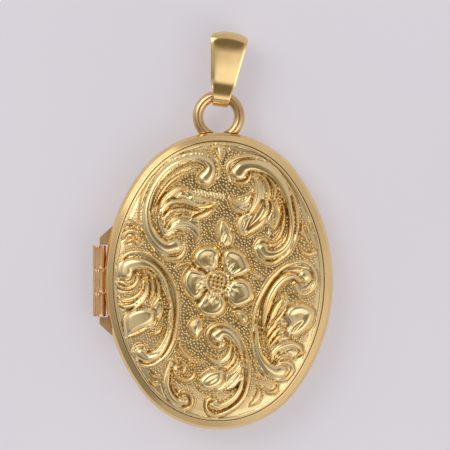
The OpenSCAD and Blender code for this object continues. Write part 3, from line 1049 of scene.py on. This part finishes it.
def emboss_bottom(r):
    """The scroll at the bottom."""
    outer = [
        (0.45, -5.3), (0.4, -5.8), (-0.1, -6.0), (-0.75, -5.7), (-1.15, -5.1), (-1.15, -4.5),
        (-0.8, -3.95), (-0.1, -3.6), (0.7, -3.65), (1.5, -4.2), (2.1, -5.0), (2.55, -6), (2.82, -7),
        (2.9, -8), (2.8, -9), (2.5, -10), (2.0, -10.8), (1.2, -11.4), (0.4, -11.8), (-0.4, -11.95),
        (-1, -11.65), (-1.3, -11), (-1.15, -10.35), (-0.6, -10.05), (-0.1, -10.3),
    ]
    shelf(r, outer, -0.4)
    wire(r, outer, -0.2, 0.2, 0.3)
    body = [(-0.15, -4.85), (0.35, -4.5), (1.0, -4.75), (1.6, -5.5), (2.0, -6.5), (2.15, -7.6)]
    r.ridge(body, [0.66, 0.5, 0.42, 0.34, 0.24, 0.06], 0.4, depth=0.14, power=3)
    tongue = [
        (2.05, -7.4), (2.1, -8.4), (1.9, -9.4), (1.4, -10.2), (0.7, -10.75), (0.0, -11.0),
        (-0.45, -10.9),
    ]
    r.ridge(tongue, [0.08, 0.2, 0.28, 0.32, 0.34, 0.38, 0.44], 0.42, depth=0.2, power=2.6)
    r.groove(
        [(2.3, -8.6), (2.15, -9.6), (1.6, -10.5), (0.8, -11.1), (0.0, -11.3)],
        [0.05, 0.1, 0.12, 0.06],
        0.2,
    )
    r.ridge([(0.35, -5.0), (0.55, -5.45), (0.3, -5.85)], [0.06, 0.17, 0.08], 0.4, depth=0.1)


def emboss_bottom_leaf(r):
    """The leaf inside the bottom scroll, and the curls to its right."""
    leaf = [
        (1.2, -5.2), (1.9, -6.4), (2.1, -7.6), (1.8, -8.7), (1.2, -9.5), (0.3, -9.6), (-0.8, -9.7),
        (-1.7, -9.4), (-1.8, -8.6), (-1.1, -7.8), (-0.5, -7.4), (-1.0, -6.7), (0.0, -6.8), (0.8, -6.2),
    ]
    r.pad(leaf, 0.2, edge=0.2, moat=0.06)
    r.ridge(
        [(-1.0, -6.5), (-0.5, -6.95), (0.2, -7.0), (0.8, -6.5), (1.05, -5.7), (1.0, -5.2)],
        [0.08, 0.3, 0.36, 0.34, 0.22, 0.06],
        0.42, lean=-0.3, depth=0.14,
    )
    r.ridge(
        [(1.4, -5.8), (1.45, -6.6), (1.05, -7.3), (0.5, -7.8)],
        [0.08, 0.2, 0.22, 0.06],
        0.42, lean=-0.2, depth=0.16,
    )
    r.ridge(
        [(1.75, -6.5), (1.6, -7.2), (1.1, -7.75), (0.5, -8.15)],
        [0.06, 0.18, 0.2, 0.06],
        0.4, lean=-0.2, depth=0.16,
    )
    r.pad(
        [
            (-0.1, -7.55), (-1.0, -7.8), (-1.7, -8.4), (-1.85, -9.1), (-1.4, -9.6), (-0.7, -9.7),
            (0.0, -9.4), (0.5, -8.9), (0.6, -8.2), (0.5, -7.7),
        ],
        0.44, edge=0.55, hollow=0.1, depth=0.16,
    )
    r.ridge(
        [(1.95, -7.8), (1.7, -8.5), (1.2, -9.1), (0.5, -9.5)],
        [0.08, 0.34, 0.38, 0.1],
        0.44, lean=0.3, depth=0.16,
    )
    r.ridge(
        [(3.35, -9.0), (3.55, -9.7), (3.3, -10.4), (2.7, -10.9)],
        [0.06, 0.26, 0.32, 0.06],
        0.34, depth=0.12,
    )
    r.ridge([(3.9, -9.3), (4.4, -9.72), (5.0, -9.6), (5.2, -9.1)], [0.06, 0.18, 0.18, 0.06], 0.3, depth=0.12)
    r.ridge([(3.4, -8.7), (3.6, -8.25), (4.0, -8.5)], [0.06, 0.14, 0.06], 0.26, depth=0.12)
    r.beads([(2.35, -6.9), (2.45, -7.6)], 0.1, 0.2)


PLATE_IN = 0.79
PLATE_W, PLATE_H = SIDE_R - SIDE_X - PLATE_IN, END_Y + END_R - PLATE_IN
GROUND_SHARE = 0.58
ACROSS, UP = 272, 334
EDGE_BEAD_IN, EDGE_BEAD_R, EDGE_BEAD_H = 0.93, 0.14, 0.1
RELIEF_IN, RELIEF_FADE = 0.9, 0.25
# How far in and how strongly the painted shade darkens the bare ground and the hollows between raised forms.
BARE_IN, BARE_FADE, BARE_SHADE = 1.3, 0.3, 0.5
PAINTED_SHADE_REACH, PAINTED_SHADE_DEPTH = 14, 0.13
BEAD_SPACING, BEAD_R, BEAD_SEED = 0.22, 0.105, 7
# Points for each square metre, before the spacing thins them.
BEAD_DENSITY = 9e7


def plate_grid():
    """Even rows and columns bent to fill the plate's oval."""
    u, v = np.meshgrid(np.linspace(-1, 1, ACROSS), np.linspace(-1, 1, UP))
    x = u * np.sqrt(1 - v * v / 2) * PLATE_W
    y = v * np.sqrt(1 - u * u / 2) * PLATE_H
    edge_x, edge_y = outline(PLATE_IN, np.linspace(0, 2 * math.pi, 2881))
    turn = np.unwrap(np.arctan2(edge_y, edge_x))
    angle = np.arctan2(y, x)
    true_r = np.interp(angle % (2 * math.pi), turn, np.hypot(edge_x, edge_y))
    plain_r = 1 / np.hypot(np.cos(angle) / PLATE_W, np.sin(angle) / PLATE_H)
    reach = np.hypot(x / PLATE_W, y / PLATE_H)
    grow = 1 + (true_r / plain_r - 1) * reach**2
    return x * grow, y * grow


def dome_height(inset):
    """The height of the plate's plain ground."""
    back = np.clip((RIM_W + DOME_W - inset) / DOME_W, 0, 1) * DOME_W
    dome = CASE_TOP - DOME_R + np.sqrt(DOME_R**2 - back**2)
    return RIM_TOP + (dome - RIM_TOP) * GROUND_SHARE


def smooth_rows(values, times=1):
    """Evens out a grid of values with its neighbours, a number of times."""
    for _ in range(times):
        for axis in (0, 1):
            ahead, behind = np.roll(values, -1, axis), np.roll(values, 1, axis)
            values = (ahead + behind + 2 * values) / 4
    return values


def grid_faces(rows, columns):
    i = np.arange(rows - 1)[:, None] * columns + np.arange(columns - 1)[None]
    return np.stack([i, i + 1, i + columns + 1, i + columns], -1).reshape(-1, 4)


def edge_loop(rows, columns):
    """The grid's border, anticlockwise from its first corner."""
    n = rows * columns
    low = list(range(columns - 1))
    right = list(range(columns - 1, n - 1, columns))
    top = list(range(n - 1, n - columns, -1))
    left = list(range(n - columns, 0, -columns))
    return low + right + top + left


def carved(x, y):
    """The relief's heights and its worked parts, with later forms laid over earlier ones."""
    relief = Relief(x.ravel(), y.ravel())
    for emboss in (
        emboss_upper_left,
        emboss_upper_left_leaf,
        emboss_left_sprigs,
        emboss_top,
        emboss_upper_right,
        emboss_upper_right_leaf,
        emboss_right_sprigs,
        emboss_left,
        emboss_left_leaf,
        emboss_right,
        emboss_right_leaf,
        emboss_lower_left,
        emboss_bottom,
        emboss_bottom_leaf,
        emboss_petals,
        emboss_flower_centre,
        emboss_buds,
    ):
        emboss(relief)
    return relief.h.reshape(x.shape), relief.worked.reshape(x.shape)


def plate_mesh(top, shape):
    """The plate's closed mesh: its grid of points, a skirt under its edge and an underside."""
    faces = grid_faces(*shape).tolist()
    loop = edge_loop(*shape)
    skirt = top[loop].copy()
    skirt[:, 2] = RIM_TOP - PLATE_SKIRT
    start = len(top)
    verts = np.vstack([top, skirt, [0, 0, RIM_TOP - 0.1]])
    centre = len(verts) - 1
    for k, here in enumerate(loop):
        after = (k + 1) % len(loop)
        faces.append([start + k, start + after, loop[after], here])
        faces.append([centre, start + after, start + k])
    return verts, faces


def embossed_plate():
    """The cover's plate. It gives back the top's points and which of them are bare ground."""
    x, y = plate_grid()
    relief, worked = carved(x, y)
    inset = inset_of(x, y)
    edge_bead = EDGE_BEAD_H * np.clip(1 - ((inset - EDGE_BEAD_IN) / EDGE_BEAD_R) ** 2, 0, 1)
    height = smooth_rows(relief) * np.clip((inset - RELIEF_IN) / RELIEF_FADE, 0, 1) + edge_bead
    z = dome_height(inset) + height
    # Painted shade: darker where the relief lies below its smoothed surroundings, and on the bare ground
    # away from the edge.
    hollow = np.clip((smooth_rows(height, PAINTED_SHADE_REACH) - height) / PAINTED_SHADE_DEPTH, 0, 1)
    bare = smooth_rows((~worked).astype(float)) * np.clip((inset - BARE_IN) / BARE_FADE, 0, 1)
    hollow = np.maximum(hollow, BARE_SHADE * bare)
    top = np.stack([x.ravel(), y.ravel(), z.ravel()], -1)
    verts, faces = plate_mesh(top, x.shape)
    plate = make_piece("embossed_plate", verts, faces, EMBOSSED, "cover", ["embossed_plate"])
    # The painted shade is stored in the "hollow" attribute, which darkens the embossed gold.
    shading = np.zeros(len(verts), np.float32)
    shading[: hollow.size] = hollow.ravel()
    shade = plate.data.attributes.new("hollow", "FLOAT", "POINT")
    shade.data.foreach_set("value", shading)
    # the beads stop further short of the edge at the bottom, most of all at its left
    bare_edge = 1.35 + 1.1 * np.clip((-6.5 - y) / 3, 0, 1) * np.clip(1.5 - x / 4, 0.4, 1)
    return top, ~worked & (inset > bare_edge)


def stipple_tree(material):
    """Geometry nodes that set small round beads all over a surface."""
    tree = bpy.data.node_groups.new("stipple", "GeometryNodeTree")
    face = tree.interface
    face.new_socket("Geometry", in_out="INPUT", socket_type="NodeSocketGeometry")
    spacing = face.new_socket("Spacing", in_out="INPUT", socket_type="NodeSocketFloat")
    size = face.new_socket("Bead radius", in_out="INPUT", socket_type="NodeSocketFloat")
    seed = face.new_socket("Seed", in_out="INPUT", socket_type="NodeSocketInt")
    face.new_socket("Geometry", in_out="OUTPUT", socket_type="NodeSocketGeometry")
    given, result = tree.nodes.new("NodeGroupInput"), tree.nodes.new("NodeGroupOutput")
    spread = tree.nodes.new("GeometryNodeDistributePointsOnFaces")
    spread.distribute_method = "POISSON"
    spread.inputs["Density Max"].default_value = BEAD_DENSITY
    bead = tree.nodes.new("GeometryNodeMeshUVSphere")
    bead.inputs["Segments"].default_value = 6
    bead.inputs["Rings"].default_value = 4
    place = tree.nodes.new("GeometryNodeInstanceOnPoints")
    vary = tree.nodes.new("FunctionNodeRandomValue")
    vary.data_type = "FLOAT_VECTOR"
    vary.inputs[0].default_value = (0.8, 0.8, 0.6)
    vary.inputs[1].default_value = (1.15, 1.15, 0.8)
    real = tree.nodes.new("GeometryNodeRealizeInstances")
    smooth = tree.nodes.new("GeometryNodeSetShadeSmooth")
    finish = tree.nodes.new("GeometryNodeSetMaterial")
    finish.inputs["Material"].default_value = material
    join = tree.links.new
    join(given.outputs["Geometry"], spread.inputs["Mesh"])
    join(given.outputs["Spacing"], spread.inputs["Distance Min"])
    join(given.outputs["Bead radius"], bead.inputs["Radius"])
    join(given.outputs["Seed"], spread.inputs["Seed"])
    join(given.outputs["Seed"], vary.inputs["Seed"])
    join(spread.outputs["Points"], place.inputs["Points"])
    join(spread.outputs["Rotation"], place.inputs["Rotation"])
    join(bead.outputs["Mesh"], place.inputs["Instance"])
    join(vary.outputs["Value"], place.inputs["Scale"])
    join(place.outputs["Instances"], real.inputs["Geometry"])
    join(real.outputs["Geometry"], smooth.inputs["Geometry"])
    join(smooth.outputs["Geometry"], finish.inputs["Geometry"])
    join(finish.outputs["Geometry"], result.inputs["Geometry"])
    return tree, {"spacing": spacing.identifier, "size": size.identifier, "seed": seed.identifier}


def ground_beads(verts, ground):
    """Stippled beads on the bare ground between the raised forms."""
    quads = grid_faces(*ground.shape)
    free = ground.ravel()[quads].all(1)
    mesh = bpy.data.meshes.new("ground_patch")
    mesh.from_pydata((verts * MM).tolist(), [], quads[free].tolist())
    patch = bpy.data.objects.new("ground_patch", mesh)
    bpy.context.scene.collection.objects.link(patch)
    tree, sockets = stipple_tree(EMBOSSED)
    modifier = patch.modifiers.new("stipple", "NODES")
    modifier.node_group = tree
    modifier[sockets["spacing"]] = BEAD_SPACING * MM
    modifier[sockets["size"]] = BEAD_R * MM
    modifier[sockets["seed"]] = BEAD_SEED
    patch.update_tag()
    bpy.context.view_layer.update()
    evaluated = patch.evaluated_get(bpy.context.evaluated_depsgraph_get())
    made = bpy.data.meshes.new_from_object(evaluated)
    bpy.data.objects.remove(patch)
    made.name = "ground_beads"
    piece = bpy.data.objects.new("ground_beads", made)
    bpy.context.scene.collection.objects.link(piece)
    return dress(piece, "cover", [])


# ---- the case ----


def shoulder(inset):
    """The quarter-round at the foot of the back half's wall."""
    radius = SHOULDER_R - inset
    turns = np.linspace(math.pi / 2, 0, 9)
    return [(SHOULDER_R - radius * math.cos(t), SHOULDER_R - radius * math.sin(t)) for t in turns]


def back_shell():
    """The back half of the case, with its room for the hinge barrel."""
    outside = [(8.0, 0.0), (4.0, 0.0), (1.5, 0.0)] + shoulder(0)
    lip = soften([(0, 1.4, 0), (0, BACK_TOP, 0.06), (WALL, BACK_TOP, 0.06), (WALL, 1.4, 0)])
    inside = [(x, max(y, WALL)) for x, y in shoulder(WALL)[::-1]] + [(1.6, WALL), (4.0, WALL), (8.0, WALL)]
    verts, faces = carry_round(outside + [tuple(p) for p in lip[1:-1]] + inside, closed=False)
    press_barrel(verts, own_middle=False)
    make_piece("back_shell", verts, faces, POLISHED, "case", ["back_shell"])


def rim_piece(name, corners, material, body, own_middle=None, nick=False):
    verts, faces = carry_round(ordered(soften(corners)))
    if own_middle is not None:
        press_barrel(verts, own_middle)
    if nick:
        press_nick(verts)
    make_piece(name, verts, faces, material, body, [name])


def case_rims():
    """The rim that the back snaps by, the cover's bright rim and the cover's lining."""
    skirt = [(WALL, SKIRT_SEAT, 0.02), (WALL, BACK_TOP, 0.02), (SKIRT_OUT, BACK_TOP, 0.0)]
    skirt += [(SKIRT_OUT, SKIRT_TOP, 0.1), (SKIRT_IN, SKIRT_TOP, 0.1), (SKIRT_IN, SKIRT_LOW, 0.05)]
    skirt += [(SKIRT_OUT, SKIRT_LOW, 0.05), (SKIRT_OUT, SKIRT_SEAT, 0.0)]
    rim_piece("back_snap_rim", skirt, INNER, "case")
    bright = [(0.0, COVER_FOOT, 0.06), (0.0, RIM_BEND, 0.3), (0.22, RIM_BEND + 0.48, 0.3)]
    bright += [(RIM_W, RIM_TOP, 0.05), (RIM_W + 0.01, RIM_TOP - PLATE_SKIRT, 0.03)]
    bright += [(RIM_IN, RIM_TOP - 0.39, 0.03), (RIM_IN, PLATE_FOOT, 0.03)]
    bright += [(WALL, PLATE_FOOT, 0.0), (WALL, COVER_FOOT, 0.06)]
    rim_piece("cover_rim", bright, POLISHED, "cover", own_middle=True, nick=True)
    inner = [(WALL, COVER_FOOT, 0.02), (LINING_IN, COVER_FOOT, 0.05), (LINING_IN, LINING_TOP, 0.0)]
    inner += [(SKIRT_IN, LINING_TOP, 0.05), (SKIRT_IN, PLATE_FOOT, 0.05), (WALL, PLATE_FOOT, 0.0)]
    rim_piece("cover_inner_rim", inner, INNER, "cover")


def picture_set(side, body, z_face, into):
    """A frame, a clear window and a blank card behind it."""
    z_back = z_face + into * LAYER_GAP
    z_tail = z_back + into * FRAME_TAIL
    flange = [(FRAME_OUT, z_face, 0.04), (FRAME_IN, z_face, 0.05), (FRAME_IN, z_back, 0.03)]
    flange += [(FRAME_STEP, z_back, 0.0), (FRAME_STEP, z_tail, 0.03), (FRAME_OUT, z_tail, 0.03)]
    rim_piece(side + "_picture_frame", flange, INNER, body)
    z_card = z_back + into * LAYER_GAP
    layers = [("window", z_back, WINDOW, "clear_window"), ("picture_card", z_card, CARD, "picture_card")]
    for what, z, material, slot in layers:
        low, high = sorted((z, z + into * LAYER_T))
        sheet = [(4.0, low), (1.6, low), (1.55, low + 0.02), (1.55, high - 0.02), (1.6, high), (4.0, high)]
        verts, faces = carry_round(sheet, closed=False)
        make_piece(f"{side}_{what}", verts, faces, material, body, [f"{side}_{what}"])


# ---- hinge ----


def barrel_piece(name, y0, y1, bore, seam, material, body):
    """A round barrel along the hinge's line, with eased ends, a bore and the seam of its rolled sheet."""
    ease, count = 0.02, 64
    turns = np.arange(count) / count * 2 * math.pi
    radius = BARREL_R if bore else PIN_R
    notch = ROLL_DEPTH * np.exp(-(((turns - ROLL_TURN) / ROLL_W) ** 2)) if seam else 0 * turns
    rows = [(y0, radius - ease), (y0 + ease * 0.3, radius - ease * 0.3), (y0 + ease, radius)]
    rows += [(y, radius) for y in np.linspace(y0, y1, 8)[1:-1]]
    rows += [(y1 - ease, radius), (y1 - ease * 0.3, radius - ease * 0.3), (y1, radius - ease)]
    rows += [(y1, bore), (y0, bore)] if bore else []
    verts = []
    for y, r in rows:
        dent = notch if r > radius - ease * 1.5 else 0 * notch
        x, z = HINGE_X + (r - dent) * np.cos(turns), BACK_T + (r - dent) * np.sin(turns)
        verts += list(zip(x, np.full(count, y), z))
    faces = [(a, d, c, b) for a, b, c, d in bridge(len(rows), count, wrap=bool(bore))]
    if not bore:
        faces.append(tuple(range(count)))
        last = (len(rows) - 1) * count
        faces.append(tuple(last + i for i in range(count - 1, -1, -1)))
    make_piece(name, verts, faces, material, body, [name])


def bearer(name, z0, body):
    """Two flat tabs that carry the barrel's ends."""
    tab = [(-10.43, 3.19, 0.05), (-10.43, 3.8, 0.12), (-9.28, 4.82, 0.05)]
    tab += [(-9.22, 4.5, 0.02), (-9.5, 3.19, 0.02)]
    layers = ((0, BEARER_EASE), (BEARER_EASE, 0), (BEARER_T - BEARER_EASE, 0), (BEARER_T, BEARER_EASE))
    verts, faces = [], []
    for side in (1, -1):
        plan = [(x, y * side) for x, y in soften(tab, 3)]
        if side > 0:
            plan = plan[::-1]
        centre = np.mean(plan, 0)
        start = len(verts)
        n = len(plan)
        for z, shrink in layers:
            for p in plan:
                inward = centre - p
                verts.append((*(np.array(p) + inward / np.linalg.norm(inward) * shrink), z0 + z))
        faces += bridge(len(layers), n, start=start)
        faces.append(tuple(start + i for i in range(n - 1, -1, -1)))
        faces.append(tuple(start + 3 * n + i for i in range(n)))
    make_piece(name, verts, faces, HINGE_SHADED_GOLD, body, [name])


def hinge():
    """Three knuckles, their pin, and the bearers that join them to the two halves."""
    half = BARREL_L / 2
    barrel_piece("lower_knuckle", -half, -half + KNUCKLE_L, PIN_R, True, HINGE_SHADED_GOLD, "case")
    barrel_piece("upper_knuckle", half - KNUCKLE_L, half, PIN_R, True, HINGE_SHADED_GOLD, "case")
    barrel_piece("cover_knuckle", -KNUCKLE_L / 2, KNUCKLE_L / 2, PIN_R + BORE_ROOM, True, HINGE_SHADED_GOLD, "cover")
    barrel_piece("hinge_pin", -half - PIN_PROUD, half + PIN_PROUD, 0, False, HINGE_SHADED_GOLD, "case")
    bearer("back_hinge_bearer", BACK_TOP - BEARER_T, "case")
    bearer("cover_hinge_bearer", COVER_FOOT, "cover")


# ---- ring and bail ----


def keep_outside(verts, above, below):
    """Moves points out to the case's wall: by above it over the parting, and by below it under it."""
    x, y, z = verts[:, 0], verts[:, 1], verts[:, 2]
    wanted = np.where(z > BACK_TOP, above, below)
    short = inset_of(x, y) + wanted
    deep = (short > 0) & (y > 9)
    verts[deep, :2] += (out_of(x, y) * short[:, None])[deep]
    return verts


def suspension_ring():
    """The round wire ring, whose feet end in the case's wall."""
    turns = np.linspace(RING_FOOT, math.pi - RING_FOOT, 97)
    rounds = np.linspace(0, 2 * math.pi, 32, endpoint=False)
    verts = []
    for t in turns:
        r = RING_R + WIRE_R * np.cos(rounds)
        ring = np.stack([r * math.cos(t), RING_Y + r * math.sin(t), RING_Z + WIRE_R * np.sin(rounds)], -1)
        verts.append(ring)
    verts = np.concatenate(verts)
    n, rows = len(rounds), len(turns)
    faces = bridge(rows, n)
    faces.append(tuple(range(n - 1, -1, -1)))
    faces.append(tuple((rows - 1) * n + i for i in range(n)))
    keep_outside(verts, 0.06, -0.02)
    faces = [f[::-1] for f in faces]
    make_piece("suspension_ring", verts, faces, RING_SHADED_GOLD, "case", ["suspension_ring"])


def ring_solder():
    """Grainy beads of solder beside the ring's feet."""
    rng = np.random.default_rng(5)
    verts, faces = [], []
    rows, n = 14, 20
    for side in (-1, 1):
        start = len(verts)
        lumps = rng.normal(0, 1, (6, 3))
        for k in range(rows + 1):
            lift = math.pi * k / rows
            count = 1 if k in (0, rows) else n
            for i in range(count):
                turn = 2 * math.pi * i / n
                level = math.sin(lift)
                ray = np.array([level * math.cos(turn), level * math.sin(turn), math.cos(lift)])
                size = SOLDER_R * (1 + 0.02 * np.sum(np.sin(3 * lumps @ ray)))
                verts.append(np.array([side * SOLDER_X, SOLDER_Y, SOLDER_Z]) + ray * size)
        for i in range(n):
            j = (i + 1) % n
            faces.append((start, start + 1 + i, start + 1 + j))
            last = start + 1 + (rows - 2) * n
            faces.append((last + i, start + 1 + (rows - 1) * n, last + j))
            for k in range(rows - 2):
                a = start + 1 + k * n
                faces.append((a + i, a + n + i, a + n + j, a + j))
    verts = keep_outside(np.array(verts), 0.06, -0.05)
    make_piece("ring_solder", verts, faces, SOLDER, "case", ["ring_solder"])


def clamp(value):
    return max(0.0, min(1.0, value))


def straight(low, high):
    """Places between two of the strap's, which keep the first one's outward direction."""
    line = []
    for t in np.linspace(0, 1, 12)[1:-1]:
        line.append((low[0] + (high[0] - low[0]) * t, low[1] + (high[1] - low[1]) * t, low[2], low[3]))
    return line


def strap_line():
    """The middle of the bail's strap from the side: (along, height, outward x, outward y)."""
    foot, top = BAIL_FOOT_R - BAIL_T / 2, BAIL_TOP_R - BAIL_T / 2
    tangent = math.acos((BAIL_FOOT_R - BAIL_TOP_R) / BAIL_L)
    line = []
    for a in np.linspace(tangent, 2 * math.pi - tangent, 33):
        line.append((foot * math.cos(a), foot * math.sin(a), math.cos(a), math.sin(a)))
    line += straight(line[-1], (BAIL_L + top * math.cos(-tangent), top * math.sin(-tangent)))
    for a in np.linspace(-tangent, tangent, 41):
        c, s = math.cos(a), math.sin(a)
        along_c, up_s = abs(c) ** TOP_TURN, math.copysign(abs(s) ** TOP_TURN, s)
        out = np.array([abs(c) ** (2 - TOP_TURN), math.copysign(abs(s) ** (2 - TOP_TURN), s)])
        out /= np.linalg.norm(out)
        line.append((BAIL_L + top * math.copysign(along_c, c), top * up_s, math.copysign(out[0], c), out[1]))
    return line + straight(line[-1], line[0])


def strap_section():
    """The strap's section: (share of its half width, distance out, ease of the corner inwards)."""
    ease = 0.07
    half_t = BAIL_T / 2
    section = [(-1, -half_t + ease, 0), (-1, half_t - ease, 0)]
    section += [(-1, half_t - 0.3 * ease, 0.3 * ease), (-1, half_t, ease)]
    section += [(a, half_t, 0) for a in np.linspace(-0.8, 0.8, 9)]
    section += [(1, half_t, -ease), (1, half_t - 0.3 * ease, -0.3 * ease)]
    section += [(1, half_t - ease, 0), (1, -half_t + ease, 0)]
    section += [(1, -half_t + 0.3 * ease, -0.3 * ease), (1, -half_t, -ease)]
    section += [(a, -half_t, 0) for a in np.linspace(0.8, -0.8, 9)]
    return section + [(-1, -half_t, ease), (-1, -half_t + 0.3 * ease, 0.3 * ease)]


def shape_strap(at, lift, half, a, facing):
    """The front strap's fold by the ring, its dip and crown, and the arched top of both straps."""
    near_top = clamp((at - 3.6) / 2.0)
    dip = clamp((BAIL_L - at) / (BAIL_L - CREASE)) ** 3 if at > CREASE else 1.0
    flat = min(FOLD_DIP, 0.19 * max(0.0, CREASE - at))
    crown = CROWN * a**4 * clamp(at - 0.4)
    lift += clamp(2 * facing) * (flat - FOLD_DIP * dip - crown)
    at -= TOP_ARCH * a * a * near_top**2
    return at, lift, half * (1 - 0.06 * near_top**3)


def bail():
    """The strap folded through the ring, wider at its front and at its top."""
    section, line = strap_section(), strap_line()
    c, s = math.cos(BAIL_LEAN), math.sin(BAIL_LEAN)
    base = np.array([RING_R * s, RING_Y + RING_R * c, RING_Z])
    up, right = np.array([s, c, 0]), np.array([c, -s, 0])
    span = BAIL_L + BAIL_TOP_R + BAIL_FOOT_R + 0.2
    verts = []
    for u, h, nu, nh in line:
        for a, b, shift in section:
            at, lift = u + nu * b, h + nh * b
            share = (at + BAIL_FOOT_R + 0.1) / span
            half = (BAIL_FOOT_W + (BAIL_TOP_W - BAIL_FOOT_W) * share) / 2
            half += (np.interp(at, FRONT_AT, FRONT_WIDE) / 2 - half) * clamp(2 * nh)
            at, lift, half = shape_strap(at, lift, half, a, nh)
            slip = REAR_SLIP * max(0.0, -nh) * clamp(at - 0.6)
            verts.append(base + up * at + right * (a * half + shift + slip) + np.array([0, 0, lift]))
    faces = bridge(len(line), len(section), wrap=True)
    make_piece("bail", verts, faces, POLISHED, "bail", ["bail"])


# ---- stage ----

VIEW_W, VIEW_X, VIEW_Y = 39.6, 0.56, 4.9
CAMERA_AWAY, SENSOR_W = 600.0, 36.0
FLOOR_HALF, FLOOR_GAP = 1200.0, 0.02
TENT_BASE = 0.52
# Each card: its direction, the light it adds or takes away, and the cosines of its edge and of
# its full part. The last one, overhead, also warms the tent's colour.
CARDS = [
    ((-0.90, 0.25, 0.42), 0.28, 0.60, 0.97),
    ((-0.44, 0.41, 0.80), 1.60, 0.935, 0.978),
    ((-0.40, -0.50, 0.77), -0.26, 0.92, 0.975),
    ((0.75, -0.50, 0.42), 0.28, 0.62, 0.97),
    ((0.50, -0.40, 0.77), 0.95, 0.94, 0.98),
    ((0.02, -0.38, 0.925), 0.62, 0.955, 0.985),
    ((0.45, 0.80, 0.42), 0.14, 0.75, 0.97),
    ((-0.87, -0.22, 0.42), -0.38, 0.80, 0.98),
    ((0.03, 0.20, 0.98), -0.34, 0.93, 0.98),
]


def soft_light(name, place, size, power, colour):
    """A rectangular lamp in millimetres, aimed at the locket's middle."""
    data = bpy.data.lights.new(name, "AREA")
    data.shape = "RECTANGLE"
    data.size, data.size_y = size[0] * MM, size[1] * MM
    data.energy = power
    data.color = colour
    light = bpy.data.objects.new(name, data)
    light.location = Vector(place) * MM
    aim = Vector((0, 2, 0)) * MM - light.location
    light.rotation_euler = aim.to_track_quat("-Z", "Y").to_euler()
    bpy.context.scene.collection.objects.link(light)


def light_tent():
    """An even surround, with soft cards that add light or take it away."""
    world = bpy.data.worlds.new("light_tent")
    world.use_nodes = True
    tree = world.node_tree
    shade = tree.nodes["Background"]
    view = tree.nodes.new("ShaderNodeTexCoord").outputs["Generated"]
    total = None
    for direction, strength, edge, full in CARDS:
        toward = tree.nodes.new("ShaderNodeVectorMath")
        toward.operation = "DOT_PRODUCT"
        toward.inputs[1].default_value = Vector(direction).normalized()
        tree.links.new(view, toward.inputs[0])
        share = to_range(tree, toward.outputs["Value"], 0.0, strength, edge, full)
        add = tree.nodes.new("ShaderNodeMath")
        add.operation = "ADD"
        add.inputs[0].default_value = TENT_BASE
        if total is not None:
            tree.links.new(total, add.inputs[0])
        tree.links.new(share, add.inputs[1])
        total = add.outputs["Value"]
    tree.links.new(total, shade.inputs["Strength"])
    warmth = to_range(tree, toward.outputs["Value"], 0.0, 1.0, edge, full)
    tint = colour_steps(tree, warmth, [(0.0, (0.98, 0.965, 1.0)), (1.0, (1.0, 0.90, 0.66))])
    tree.links.new(tint, shade.inputs["Color"])
    bpy.context.scene.world = world


def stage():
    """The floor, the lights and the camera, which looks straight down from far away."""
    mesh = bpy.data.meshes.new("floor")
    half = FLOOR_HALF * MM
    corners = [(-half, -half, 0), (half, -half, 0), (half, half, 0), (-half, half, 0)]
    mesh.from_pydata(corners, [], [(0, 1, 2, 3)])
    mesh.materials.append(floor_paper())
    floor = bpy.data.objects.new("floor", mesh)
    floor.location.z = min(0.0, CAD_LOW.z) - FLOOR_GAP * MM
    bpy.context.scene.collection.objects.link(floor)
    light_tent()
    soft_light("key", (-260, 240, 300), (300, 300), 0.18, (1.0, 0.98, 0.95))
    camera_data = bpy.data.cameras.new("camera")
    camera_data.sensor_width = SENSOR_W
    camera_data.lens = SENSOR_W * CAMERA_AWAY / VIEW_W
    camera_data.clip_start = 0.01
    camera = bpy.data.objects.new("camera", camera_data)
    camera.location = Vector((VIEW_X, VIEW_Y, CAMERA_AWAY)) * MM
    bpy.context.scene.collection.objects.link(camera)
    bpy.context.scene.camera = camera
    bpy.context.scene.view_settings.view_transform = "Standard"


back_shell()
case_rims()
picture_set("back", "case", BACK_FRAME_Z, -1)
picture_set("cover", "cover", LINING_TOP, 1)
hinge()
suspension_ring()
ring_solder()
bail()
ground_beads(*embossed_plate())
stage()
